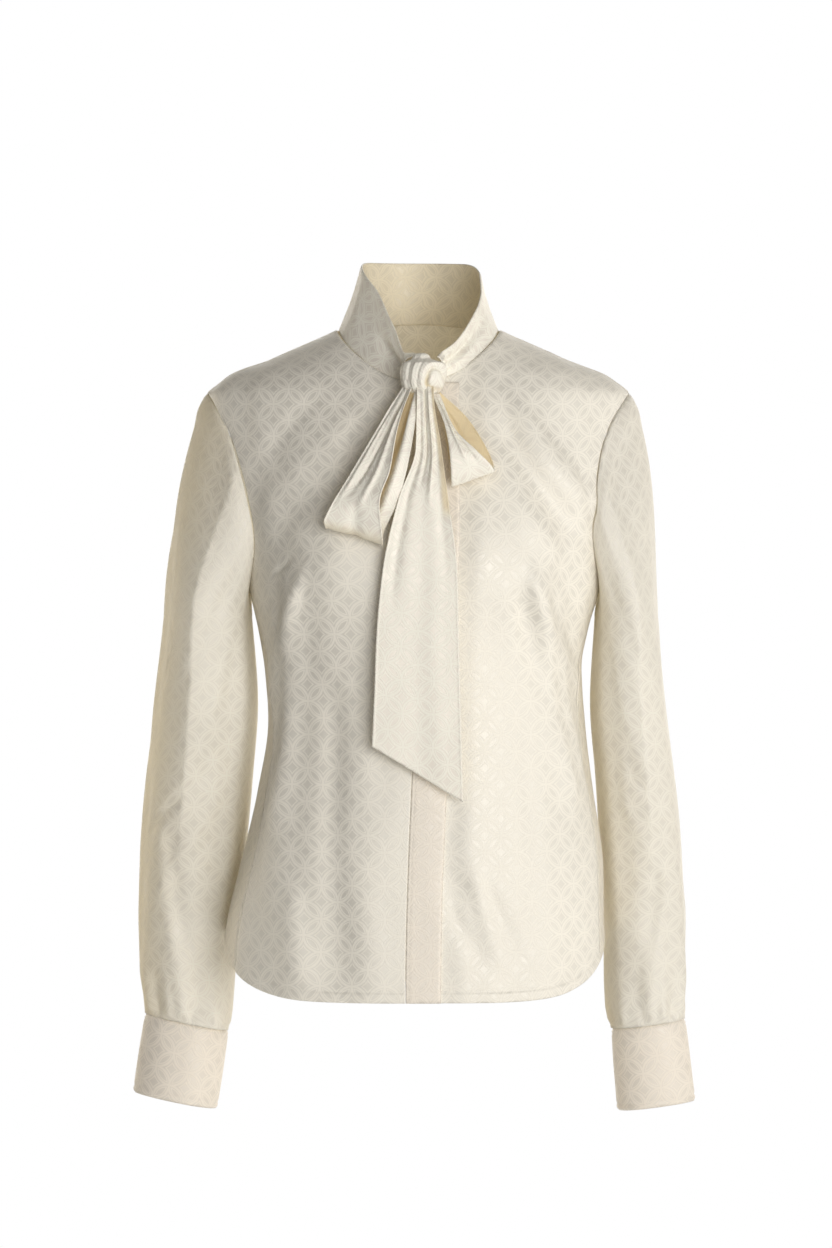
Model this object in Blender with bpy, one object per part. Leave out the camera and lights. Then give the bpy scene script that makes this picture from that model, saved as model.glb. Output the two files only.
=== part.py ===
"""Tie neck blouse, worn and hollow, in metres with +Z up and the front facing -Y.

The origin is the middle of the neck base at shoulder height. The wearer's right is -X.
Every piece is one closed wall of cloth. The fronts and the back share one body surface,
made of level sections, and meet at the seams with a small gap. Azimuth 0 is the centre
front and 180 degrees is the centre back, and positive azimuth is the wearer's left.
"""

import bpy
import numpy as np

# Cloth and seams
CLOTH = 0.0012
SEAM_GAP = 0.0004
UNDERLAP_DEPTH = 0.0026
UNDERLAP_BLEND = 0.022
UNDERLAP_FLAT = 0.002

# Front opening
PLACKET_WIDTH = 0.0315
UNDERLAP_WIDTH = 0.0240
PLACKET_EDGE_AT_HEM = 0.0205
PLACKET_LEAN = 0.0165
PLACKET_LEAN_HEIGHT = 0.50
PLACKET_COLUMNS = 3

# Hem with raised sides
HEM_HEIGHT = -0.5960
HEM_RISE = 0.0540
HEM_RISE_AZIMUTH = 95.0
HEM_RISE_SPREAD = 25.0

# Neckline
NECK_FRONT = -0.0380
NECK_SIDE = 0.0140
NECK_BACK = 0.0240
NECK_CURVE = 2.1
SHOULDER_SEAM_FORWARD = 0.0100

# Armhole, an egg seen from the side
ARMHOLE_TOP = -0.0440
ARMHOLE_BOTTOM = -0.2254
ARMHOLE_HALF_WIDTH = 0.0580
ARMHOLE_EGG = 0.20

# Side seams, turned a little to the front below the armpit
SIDE_SEAM_AZIMUTHS = {-1: 72.0, 1: 77.0}
SIDE_SEAM_TURN_TOP = -0.2254
SIDE_SEAM_TURN_BOTTOM = -0.3000
SIDE_RADIUS = 0.150

# Bust fullness held by the darts
BUST_AZIMUTH = 33.0
BUST_HEIGHT = -0.200
BUST_FULLNESS = 0.0100
BUST_AZIMUTH_SPREAD = 20.0
BUST_HEIGHT_SPREAD = 0.055

# Level sections of the body of the blouse
# height, right half width, left half width, front depth, back depth, squareness
BODY_LEVELS = {
    "below hem": (-0.620, 0.1830, 0.1750, 0.1140, 0.1280, 2.30),
    "hem": (-0.545, 0.1776, 0.1715, 0.1150, 0.1250, 2.30),
    "hip": (-0.480, 0.1640, 0.1700, 0.1150, 0.1180, 2.30),
    "high hip": (-0.410, 0.1475, 0.1610, 0.1140, 0.1040, 2.30),
    "waist": (-0.345, 0.1375, 0.1535, 0.1130, 0.0930, 2.30),
    "under bust": (-0.300, 0.1405, 0.1500, 0.1160, 0.0910, 2.30),
    "side": (-0.262, 0.1465, 0.1560, 0.1190, 0.0940, 2.25),
    "armpit": (-0.2254, 0.1546, 0.1670, 0.1215, 0.0980, 2.20),
    "bust": (-0.180, 0.1630, 0.1750, 0.1190, 0.1020, 2.15),
    "chest": (-0.135, 0.1800, 0.1850, 0.1110, 0.1040, 2.10),
    "upper chest": (-0.085, 0.1930, 0.1930, 0.0960, 0.1010, 1.95),
    "shoulder tip": (-0.048, 0.1955, 0.1955, 0.0840, 0.0930, 1.85),
    "shoulder": (-0.031, 0.1780, 0.1780, 0.0770, 0.0870, 1.75),
    "mid shoulder": (-0.0129, 0.1356, 0.1356, 0.0670, 0.0790, 1.70),
    "neck side": (0.014, 0.0745, 0.0755, 0.0520, 0.0720, 1.80),
    "neck back": (0.030, 0.0450, 0.0450, 0.0420, 0.0640, 2.00),
}

# Largest soft folds of the body: a ridge is positive and a trough negative
# azimuth and height of each end, half width, depth
FOLD_LINE_RADIUS = 0.13
BODY_FOLDS = {
    "right bust to waist": (-52.0, -0.235, -63.0, -0.420, 0.014, 0.0050),
    "left bust to hip": (46.0, -0.225, 66.0, -0.400, 0.013, 0.0050),
    "left hollow beside fold": (60.0, -0.215, 84.0, -0.380, 0.016, -0.0040),
    "right front trough": (-38.0, -0.330, -36.0, -0.560, 0.020, -0.0035),
    "left hem trough": (20.0, -0.500, 38.0, -0.575, 0.016, -0.0030),
    "left chest drape": (40.0, -0.075, 70.0, -0.165, 0.018, 0.0035),
    "right chest drape": (-38.0, -0.080, -66.0, -0.165, 0.018, 0.0025),
    "back right waist": (-128.0, -0.250, -118.0, -0.500, 0.018, 0.0045),
    "back left waist": (128.0, -0.250, 120.0, -0.500, 0.018, 0.0045),
    "back middle hollow": (180.0, -0.280, 178.0, -0.440, 0.026, -0.0050),
    "back right blade": (-145.0, -0.110, -122.0, -0.200, 0.020, 0.0030),
    "back left blade": (145.0, -0.110, 122.0, -0.200, 0.020, 0.0030),
}

# Grid counts of the body panels
NECK_COLUMNS = 5
SHOULDER_COLUMNS = 7
LOWER_ROWS = 11
ARMHOLE_ROWS = 12

# Sleeves: height, outer edge, inner edge, middle depth, half depth, slant
SLEEVE_SQUARENESS = 2.2
RIGHT_SLEEVE = {
    "upper arm": (-0.250, 0.2335, 0.1530, 0.010, 0.066, 0.00),
    "above elbow": (-0.327, 0.2438, 0.1480, 0.022, 0.063, 0.00),
    "elbow": (-0.402, 0.2523, 0.1536, 0.038, 0.059, 0.00),
    "forearm": (-0.477, 0.2590, 0.1612, 0.054, 0.055, 0.00),
    "lower forearm": (-0.533, 0.2614, 0.1678, 0.063, 0.052, 0.03),
    "above cuff": (-0.583, 0.2600, 0.1714, 0.062, 0.047, 0.10),
    "gathers": (-0.609, 0.2562, 0.1740, 0.056, 0.040, 0.17),
}
LEFT_SLEEVE = {
    "upper arm": (-0.250, 0.2200, 0.1630, 0.010, 0.070, 0.00),
    "above elbow": (-0.327, 0.2290, 0.1592, 0.022, 0.066, 0.00),
    "elbow": (-0.402, 0.2384, 0.1650, 0.038, 0.061, 0.00),
    "forearm": (-0.477, 0.2466, 0.1700, 0.054, 0.056, 0.00),
    "lower forearm": (-0.533, 0.2512, 0.1732, 0.063, 0.052, 0.02),
    "above cuff": (-0.583, 0.2510, 0.1742, 0.062, 0.047, 0.07),
    "gathers": (-0.610, 0.2487, 0.1760, 0.056, 0.040, 0.12),
}
# Soft folds along both sleeves: angle round the sleeve from its outer side to the front,
# top and bottom height, half width in degrees, height of the ridge
SLEEVE_FOLDS = {
    "pressed crease": (76.0, -0.120, -0.430, 15.0, 0.0035),
    "outer front fold": (46.0, -0.430, -0.575, 15.0, 0.0030),
    "inner front hollow": (118.0, -0.300, -0.480, 20.0, -0.0030),
    "back crease": (262.0, -0.150, -0.450, 16.0, 0.0035),
    "back hollow": (300.0, -0.400, -0.560, 18.0, -0.0030),
    "front tuck": (92.0, -0.575, -0.605, 12.0, 0.0030),
    "back tuck": (285.0, -0.565, -0.605, 12.0, 0.0035),
}
SLEEVE_FOLD_FADE = 0.030
# Way a sleeve leaves its armhole and settles: outwards, more at the top, and forwards
SLEEVE_LEAVE_OUT = 0.14
SLEEVE_LEAVE_TOP = 0.28
SLEEVE_LEAVE_FRONT = 0.20
SLEEVE_SETTLE = (0.06, 0.10)
SLEEVE_HEAD_ROWS = 5
SLEEVE_ROWS = 11

# Cuffs: height, distance out, half width, half depth at each end, and the slant
CUFF_DEPTH = 0.052
CUFF_ROWS = 3
RIGHT_CUFF = {
    "top": (-0.6270, 0.2156, 0.0388, 0.0305),
    "bottom": (-0.6991, 0.2263, 0.0392, 0.0315),
    "slant": 0.21,
}
LEFT_CUFF = {
    "top": (-0.6284, 0.2143, 0.0345, 0.0335),
    "bottom": (-0.7038, 0.2217, 0.0366, 0.0330),
    "slant": 0.135,
}

# Knot of the bow
KNOT_MIDDLE = (0.0044, -0.1065, -0.0330)
KNOT_HALF_SIZE = (0.0215, 0.0150, 0.0190)
KNOT_COLUMNS = 16
KNOT_ROWS = 9
KNOT_REACH = 0.90
KNOT_BARREL = 0.60
KNOT_PLEATS = 4
KNOT_PLEAT_DEPTH = 0.06
KNOT_POLE = 0.0006

# Collar band: azimuth, radius and height of its free edge
COLLAR_TOP = {
    "right knot": (-9.0, 0.0880, -0.0130),
    "right front": (-18.0, 0.0735, 0.0130),
    "right side front": (-45.0, 0.0560, 0.0500),
    "right side": (-90.0, 0.0525, 0.0720),
    "right back": (-135.0, 0.0600, 0.0790),
    "back": (-180.0, 0.0620, 0.0800),
    "left back": (-225.0, 0.0600, 0.0780),
    "left side": (-270.0, 0.0580, 0.0640),
    "left side front": (-310.0, 0.0700, 0.0300),
    "left front": (-335.0, 0.0800, -0.0020),
    "left knot": (-346.0, 0.0900, -0.0120),
}
COLLAR_ROWS = 5
COLLAR_BELLY = -0.0015
COLLAR_PLEATS = 2.5
COLLAR_PLEAT_DEPTH = 0.0022
COLLAR_PLEAT_REACH = 2.2
COLLAR_KNOT_COLUMNS = 2
# Where the collar's ends meet the knot: angle round it, and lowest and highest share
COLLAR_SEAT_ANGLE = 118.0
COLLAR_RIGHT_SEAT = (-0.50, 0.80)
COLLAR_LEFT_SEAT = (-0.30, 0.85)

# Ribbons of the bow: left edge x, y, z and right edge x, y, z, from the knot outwards
BIG_LOOP = {
    "front at knot": (-0.0130, -0.1086, -0.0502, -0.0045, -0.1106, -0.0512),
    "front upper": (-0.0374, -0.1190, -0.0850, -0.0185, -0.1290, -0.0850),
    "front middle": (-0.0606, -0.1300, -0.1240, -0.0250, -0.1400, -0.1200),
    "front lower": (-0.0795, -0.1370, -0.1560, -0.0345, -0.1440, -0.1520),
    "fold front": (-0.0835, -0.1360, -0.1660, -0.0318, -0.1430, -0.1800),
    "fold": (-0.0815, -0.1300, -0.1710, -0.0315, -0.1350, -0.1868),
    "fold back": (-0.0790, -0.1240, -0.1660, -0.0318, -0.1280, -0.1800),
    "back lower": (-0.0740, -0.1215, -0.1500, -0.0225, -0.1250, -0.1500),
    "back middle": (-0.0560, -0.1160, -0.1200, -0.0150, -0.1190, -0.1200),
    "back upper": (-0.0330, -0.1070, -0.0850, -0.0090, -0.1110, -0.0850),
    "back at knot": (-0.0116, -0.1015, -0.0503, -0.0041, -0.1035, -0.0513),
}
SMALL_LOOP = {
    "back at knot": (0.0134, -0.1035, -0.0514, 0.0194, -0.1005, -0.0494),
    "back upper": (0.0230, -0.1060, -0.0780, 0.0440, -0.1030, -0.0720),
    "back lower": (0.0270, -0.1130, -0.1050, 0.0600, -0.1100, -0.0970),
    "fold back": (0.0300, -0.1190, -0.1290, 0.0675, -0.1160, -0.1140),
    "fold": (0.0300, -0.1250, -0.1350, 0.0690, -0.1220, -0.1210),
    "fold front": (0.0295, -0.1310, -0.1270, 0.0650, -0.1270, -0.1150),
    "front lower": (0.0285, -0.1330, -0.1080, 0.0520, -0.1310, -0.1020),
    "front upper": (0.0240, -0.1260, -0.0790, 0.0330, -0.1250, -0.0820),
    "front at knot": (0.0129, -0.1109, -0.0510, 0.0194, -0.1089, -0.0500),
}
FRONT_TAIL = {
    "knot": (-0.0034, -0.1125, -0.0516, 0.0116, -0.1125, -0.0516),
    "throat": (-0.0020, -0.1260, -0.0990, 0.0205, -0.1265, -0.0990),
    "upper": (-0.0175, -0.1350, -0.1460, 0.0266, -0.1350, -0.1460),
    "middle": (-0.0315, -0.1380, -0.2100, 0.0346, -0.1380, -0.2100),
    "lower": (-0.0370, -0.1350, -0.2700, 0.0363, -0.1350, -0.2800),
    "foot": (-0.0388, -0.1310, -0.3200, 0.0381, -0.1310, -0.3500),
    "end": (-0.0409, -0.1270, -0.3659, 0.0399, -0.1260, -0.4156),
}
BACK_TAIL = {
    "knot": (-0.0030, -0.1075, -0.0525, 0.0110, -0.1075, -0.0525),
    "throat": (0.0005, -0.1160, -0.0990, 0.0190, -0.1160, -0.0990),
    "upper": (-0.0110, -0.1240, -0.1460, 0.0230, -0.1240, -0.1460),
    "middle": (-0.0260, -0.1300, -0.2100, 0.0290, -0.1300, -0.2100),
    "lower": (-0.0310, -0.1270, -0.2700, 0.0310, -0.1270, -0.2750),
    "end": (-0.0330, -0.1230, -0.3350, 0.0320, -0.1230, -0.3800),
}
LOOP_ROWS = 20
TAIL_ROWS = 12
RIBBON_COLUMNS = 8
RIBBON_PLEATS = 2.0
PLEAT_DEPTH_SHARE = 0.09
PLEAT_REACH = 0.30
PLEAT_START = 0.08

# Looks of the cloth: colour, roughness
SILK = ((0.88, 0.85, 0.78), 0.38)


def smooth_curve(places, values, wanted):
    """Cubic through the values with slopes kept level at each peak."""
    places = np.asarray(places, float)
    values = np.asarray(values, float)
    steps = np.diff(places)
    rises = np.diff(values) / steps
    slopes = np.zeros(len(places))
    same_way = rises[:-1] * rises[1:] > 0
    inner = np.zeros(len(places) - 2)
    first_weight = 2.0 * steps[1:] + steps[:-1]
    second_weight = steps[1:] + 2.0 * steps[:-1]
    inner[same_way] = ((first_weight + second_weight)[same_way]
                       / (first_weight[same_way] / rises[:-1][same_way]
                          + second_weight[same_way] / rises[1:][same_way]))
    slopes[1:-1] = inner
    slopes[0] = rises[0]
    slopes[-1] = rises[-1]
    wanted = np.clip(wanted, places[0], places[-1])
    index = np.clip(np.searchsorted(places, wanted) - 1, 0, len(steps) - 1)
    step = steps[index]
    t = (wanted - places[index]) / step
    start = (1.0 + 2.0 * t) * (1.0 - t) ** 2 * values[index]
    end = t ** 2 * (3.0 - 2.0 * t) * values[index + 1]
    leave = t * (1.0 - t) ** 2 * step * slopes[index]
    arrive = t ** 2 * (t - 1.0) * step * slopes[index + 1]
    return start + end + leave + arrive


def read_columns(table, place_column, wanted):
    """Each column of a table, read smoothly at the wanted places."""
    rows = np.array(sorted(table.values(), key=lambda row: row[place_column]), float)
    places = rows[:, place_column]
    return [smooth_curve(places, rows[:, column], wanted) for column in range(rows.shape[1])]


def smooth_step(t):
    """A soft rise from 0 to 1."""
    t = np.clip(t, 0.0, 1.0)
    return t * t * (3.0 - 2.0 * t)


def body_section(azimuth, height):
    """Half width, depth and squareness of the section on the side that faces the azimuth."""
    _, right, left, front, back, squareness = read_columns(BODY_LEVELS, 0, height)
    half_width = np.where(np.sin(azimuth) < 0.0, right, left)
    depth = np.where(np.cos(azimuth) > 0.0, front, back)
    return half_width, depth, squareness


def fold_height(azimuth, height, radius):
    """Sum of the soft folds: each is a bell across its line and fades past its ends."""
    total = np.zeros(np.shape(azimuth))
    for first, top, last, bottom, half_width, depth in BODY_FOLDS.values():
        start = np.radians(first)
        turn = np.angle(np.exp(1j * (azimuth - start)))
        across = turn * radius
        down = top - height
        line = np.array([np.radians(last - first) * FOLD_LINE_RADIUS, top - bottom])
        length = np.hypot(line[0], line[1])
        line = line / length
        along = across * line[0] + down * line[1]
        aside = across * line[1] - down * line[0]
        past = np.clip(np.abs(along - length / 2.0) - length / 2.0, 0.0, None)
        total += depth * np.exp(-(aside / half_width) ** 2 - (past / (1.5 * half_width)) ** 2)
    return total


def body_point(azimuth, height, inset=0.0):
    """Point of the body surface: a level superellipse, the bust fullness and the folds."""
    azimuth, height = np.broadcast_arrays(np.asarray(azimuth, float), np.asarray(height, float))
    half_width, depth, squareness = body_section(azimuth, height)
    across = (np.abs(np.sin(azimuth)) / half_width) ** squareness
    ahead = (np.abs(np.cos(azimuth)) / depth) ** squareness
    radius = (across + ahead) ** (-1.0 / squareness)
    turn = np.abs(np.angle(np.exp(1j * azimuth)))
    bust = np.exp(-((turn - np.radians(BUST_AZIMUTH)) / np.radians(BUST_AZIMUTH_SPREAD)) ** 2
                  - ((height - BUST_HEIGHT) / BUST_HEIGHT_SPREAD) ** 2)
    radius = radius + BUST_FULLNESS * bust + fold_height(azimuth, height, radius) - inset
    return np.stack([radius * np.sin(azimuth), -radius * np.cos(azimuth), height], axis=-1)


def body_normal(azimuth, height):
    """Unit normal of the body surface, pointing out."""
    step = 0.001
    around = body_point(azimuth + step, height) - body_point(azimuth - step, height)
    up = body_point(azimuth, height + step) - body_point(azimuth, height - step)
    normal = np.cross(around, up)
    return normal / np.linalg.norm(normal, axis=-1, keepdims=True)


def azimuth_at_depth(side, depth, height):
    """Azimuth where the section at a height passes the given depth, -Y being in front."""
    facing = np.where(np.asarray(depth) < 0.0, 0.0, np.pi)
    half_width, reach, squareness = body_section(facing + side * 0.01 * np.cos(facing), height)
    across = half_width * (1.0 - (np.abs(depth) / reach) ** squareness) ** (1.0 / squareness)
    return np.arctan2(side * across, -np.asarray(depth))


def azimuth_at_width(across, height):
    """Azimuth where the front of the section passes the given distance across."""
    half_width, reach, squareness = body_section(np.where(across < 0.0, -0.01, 0.01), height)
    ahead = reach * (1.0 - (np.abs(across) / half_width) ** squareness) ** (1.0 / squareness)
    return np.arctan2(across, ahead)


def body_points_and_normals(azimuth, height, inset=0.0):
    """Grid of outer points of a body panel and the way out from each."""
    return body_point(azimuth, height, inset), body_normal(azimuth, height)


def hem_height(azimuth):
    """Height of the hem, which rises to the side seams."""
    turn = np.degrees(np.abs(np.angle(np.exp(1j * azimuth))))
    return HEM_HEIGHT + HEM_RISE * np.exp(-((turn - HEM_RISE_AZIMUTH) / HEM_RISE_SPREAD) ** 2)


def neck_height(azimuth):
    """Height of the neck seam, low in front and highest at the back."""
    facing = np.cos(azimuth)
    front = NECK_SIDE - (NECK_SIDE - NECK_FRONT) * np.clip(facing, 0.0, 1.0) ** NECK_CURVE
    back = (NECK_BACK - NECK_SIDE) * np.clip(-facing, 0.0, 1.0) ** NECK_CURVE
    return front + back


def side_seam_azimuth(side, height):
    """Azimuth of a side seam, measured from the centre front."""
    fall = (SIDE_SEAM_TURN_TOP - height) / (SIDE_SEAM_TURN_TOP - SIDE_SEAM_TURN_BOTTOM)
    return np.radians(90.0 - (90.0 - SIDE_SEAM_AZIMUTHS[side]) * smooth_step(fall))


def placket_edge(height):
    """Distance across of the lapped edge, which leans to the wearer's left as it rises."""
    rise = (height - HEM_HEIGHT) / PLACKET_LEAN_HEIGHT
    return PLACKET_EDGE_AT_HEM + PLACKET_LEAN * smooth_step(rise)


def armhole_angles():
    """Angles round the armhole from its top: down the front, then up the back."""
    middle = (ARMHOLE_TOP + ARMHOLE_BOTTOM) / 2.0
    seam_angle = SHOULDER_SEAM_FORWARD / (ARMHOLE_HALF_WIDTH * (1.0 - ARMHOLE_EGG))
    front = np.linspace(np.arcsin(seam_angle), np.pi, ARMHOLE_ROWS + 1)
    back = np.linspace(np.pi, 2.0 * np.pi + np.arcsin(seam_angle), ARMHOLE_ROWS + 1)
    return middle, front, back


def armhole_line(side, angles, spare):
    """Azimuth and height of the armhole seam; spare widens the hole."""
    middle, _, _ = armhole_angles()
    half_height = (ARMHOLE_TOP - ARMHOLE_BOTTOM) / 2.0 + spare
    half_width = ARMHOLE_HALF_WIDTH + spare
    depth = -half_width * np.sin(angles) * (1.0 - ARMHOLE_EGG * np.cos(angles))
    height = middle + half_height * np.cos(angles)
    return azimuth_at_depth(side, depth, height), height


def shoulder_line(side, share, depth_shift):
    """Azimuth and height along the shoulder seam, share 0 at the neck and 1 at the armhole."""
    middle, front_angles, _ = armhole_angles()
    tip = middle + (ARMHOLE_TOP - middle + SEAM_GAP) * np.cos(front_angles[0])
    neck = neck_height(azimuth_at_depth(side, -SHOULDER_SEAM_FORWARD, NECK_SIDE)) - SEAM_GAP
    height = neck + (tip - neck) * share
    return azimuth_at_depth(side, -SHOULDER_SEAM_FORWARD + depth_shift, height), height


def coons_patch(bottom, top, first, last):
    """Grid that fills four edge lines, each a row of azimuth and height pairs."""
    rows = len(first)
    columns = len(bottom)
    v = np.linspace(0.0, 1.0, rows)[:, None, None]
    u = np.linspace(0.0, 1.0, columns)[None, :, None]
    ruled_up = (1.0 - v) * bottom[None] + v * top[None]
    ruled_across = (1.0 - u) * first[:, None] + u * last[:, None]
    corners = ((1.0 - u) * (1.0 - v) * bottom[0] + u * (1.0 - v) * bottom[-1]
               + (1.0 - u) * v * top[0] + u * v * top[-1])
    return ruled_up + ruled_across - corners


def pairs(azimuth, height):
    """Azimuth and height as one array of pairs."""
    azimuth, height = np.broadcast_arrays(azimuth, height)
    return np.stack([azimuth, height], axis=-1)


def lower_rows(first_azimuths, last_azimuths, columns):
    """Azimuth and height of the rows from the hem up to the armpit."""
    top = ARMHOLE_BOTTOM - SEAM_GAP
    rise = np.linspace(0.0, 1.0, LOWER_ROWS + 1)[:, None]
    share = np.linspace(0.0, 1.0, columns + 1)[None, :]
    azimuth = first_azimuths[:, None] * (1.0 - share) + last_azimuths[:, None] * share
    height = hem_height(azimuth) * (1.0 - rise) + top * rise
    return pairs(azimuth, height)


def side_azimuths(side, gap_sign):
    """Azimuth of the side seam on each lower row, with the seam gap to one side."""
    top = ARMHOLE_BOTTOM - SEAM_GAP
    rise = np.linspace(0.0, 1.0, LOWER_ROWS + 1)
    start = hem_height(np.radians(SIDE_SEAM_AZIMUTHS[side]))
    heights = start * (1.0 - rise) + top * rise
    gap = gap_sign * SEAM_GAP / 2.0 / SIDE_RADIUS
    return side * (side_seam_azimuth(side, heights) + gap)


def front_edge_azimuths(edge, heights):
    """Azimuths of a line that keeps a distance from the lapped edge."""
    return azimuth_at_width(placket_edge(heights) + edge, heights)


def front_panel_lines(side, edge):
    """Azimuth and height of every grid point of one front."""
    columns = NECK_COLUMNS + SHOULDER_COLUMNS
    top = ARMHOLE_BOTTOM - SEAM_GAP
    rise = np.linspace(0.0, 1.0, LOWER_ROWS + 1)
    edge_heights = HEM_HEIGHT * (1.0 - rise) + top * rise
    lower = lower_rows(front_edge_azimuths(edge, edge_heights), side_azimuths(side, -1.0), columns)

    _, front_angles, _ = armhole_angles()
    hole_azimuth, hole_height = armhole_line(side, front_angles[::-1], SEAM_GAP)
    hole_azimuth[0] = lower[-1, -1, 0]
    shoulder_share = np.linspace(0.0, 1.0, SHOULDER_COLUMNS + 1)
    shoulder_azimuth, shoulder_height = shoulder_line(side, shoulder_share, -SEAM_GAP / 2.0)
    hole_azimuth[-1] = shoulder_azimuth[-1]
    hole_height[-1] = shoulder_height[-1]
    neck_start = float(front_edge_azimuths(edge, np.array(NECK_FRONT)))
    neck_azimuth = np.linspace(neck_start, shoulder_azimuth[0], NECK_COLUMNS + 1)
    neck_line = neck_height(neck_azimuth) - SEAM_GAP
    neck_line[-1] = shoulder_height[0]
    top_line = np.concatenate([pairs(neck_azimuth, neck_line)[:-1],
                               pairs(shoulder_azimuth, shoulder_height)])
    share = np.linspace(0.0, 1.0, ARMHOLE_ROWS + 1)
    inner_heights = top + (neck_line[0] - top) * share
    first = pairs(front_edge_azimuths(edge, inner_heights), inner_heights)
    first[0] = lower[-1, 0]
    first[-1] = top_line[0]
    upper = coons_patch(lower[-1], top_line, first, pairs(hole_azimuth, hole_height))
    return np.concatenate([lower, upper[1:]])


def front_right_grid():
    """Right front, from the placket stitching to the side."""
    lines = front_panel_lines(-1, -PLACKET_WIDTH - SEAM_GAP)
    return body_points_and_normals(lines[..., 0], lines[..., 1])


def front_left_grid():
    """Left front, which passes under the placket."""
    lines = front_panel_lines(1, -UNDERLAP_WIDTH)
    free = body_point(lines[..., 0], lines[..., 1])
    past_edge = free[..., 0] - placket_edge(free[..., 2]) - UNDERLAP_FLAT
    inset = UNDERLAP_DEPTH * (1.0 - smooth_step(past_edge / UNDERLAP_BLEND))
    return body_points_and_normals(lines[..., 0], lines[..., 1], inset)


def placket_grid():
    """Lapped strip down the centre front, on the body surface."""
    rows = LOWER_ROWS + ARMHOLE_ROWS
    heights = np.linspace(HEM_HEIGHT, NECK_FRONT - 2.0 * SEAM_GAP, rows + 1)[:, None]
    share = np.linspace(0.0, 1.0, PLACKET_COLUMNS + 1)[None, :]
    across = placket_edge(heights) - PLACKET_WIDTH * (1.0 - share)
    azimuth = azimuth_at_width(across, np.broadcast_to(heights, across.shape))
    return body_points_and_normals(azimuth, np.broadcast_to(heights, across.shape))


def back_grid():
    """Whole back, from the left side seam round to the right one."""
    half = NECK_COLUMNS + SHOULDER_COLUMNS
    left_side = side_azimuths(1, 1.0)
    right_side = 2.0 * np.pi + side_azimuths(-1, 1.0)
    lower = lower_rows(left_side, right_side, 2 * half)
    _, _, back_angles = armhole_angles()
    shoulder_share = np.linspace(1.0, 0.0, SHOULDER_COLUMNS + 1)
    edges = []
    tops = []
    for side in (1, -1):
        hole_azimuth, hole_height = armhole_line(side, back_angles, SEAM_GAP)
        shoulder_azimuth, shoulder_height = shoulder_line(side, shoulder_share, SEAM_GAP / 2.0)
        if side < 0:
            hole_azimuth = np.where(hole_azimuth < 0.0, hole_azimuth + 2.0 * np.pi, hole_azimuth)
            shoulder_azimuth = shoulder_azimuth + 2.0 * np.pi
        hole_azimuth[0] = lower[-1, 0 if side > 0 else -1, 0]
        hole_azimuth[-1] = shoulder_azimuth[0]
        hole_height[-1] = shoulder_height[0]
        edges.append(pairs(hole_azimuth, hole_height))
        tops.append(pairs(shoulder_azimuth, shoulder_height))
    neck_azimuth = np.linspace(tops[0][-1, 0], tops[1][-1, 0], 2 * NECK_COLUMNS + 1)
    neck_line = pairs(neck_azimuth, neck_height(neck_azimuth) - SEAM_GAP)
    top_line = np.concatenate([tops[0], neck_line[1:-1], tops[1][::-1]])
    upper = coons_patch(lower[-1], top_line, edges[0], edges[1])
    lines = np.concatenate([lower, upper[1:]])
    return body_points_and_normals(lines[..., 0], lines[..., 1])


def ring(angles, middle, half_width, half_depth, side, slant):
    """Level superellipse ring of a sleeve; slant lifts its outer side."""
    across = np.sign(np.cos(angles)) * np.abs(np.cos(angles)) ** (2.0 / SLEEVE_SQUARENESS)
    ahead = np.sign(np.sin(angles)) * np.abs(np.sin(angles)) ** (2.0 / SLEEVE_SQUARENESS)
    x = middle[0] + side * half_width * across
    y = middle[1] - half_depth * ahead
    z = middle[2] + slant * half_width * across
    return np.stack([x, y, z], axis=-1)


def ring_angles():
    """Angles of the points round a sleeve, the same as on the armhole seam."""
    _, front, back = armhole_angles()
    return np.concatenate([front, back[1:-1]])


def cuff_ring(side, cuff, share):
    """Ring of a cuff, share 0 at its seam and 1 at its open edge."""
    top = np.array(cuff["top"])
    bottom = np.array(cuff["bottom"])
    height, out, half_width, half_depth = top + (bottom - top) * share
    middle = (side * out, CUFF_DEPTH, height)
    return ring(ring_angles(), middle, half_width, half_depth, side, cuff["slant"])


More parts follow.
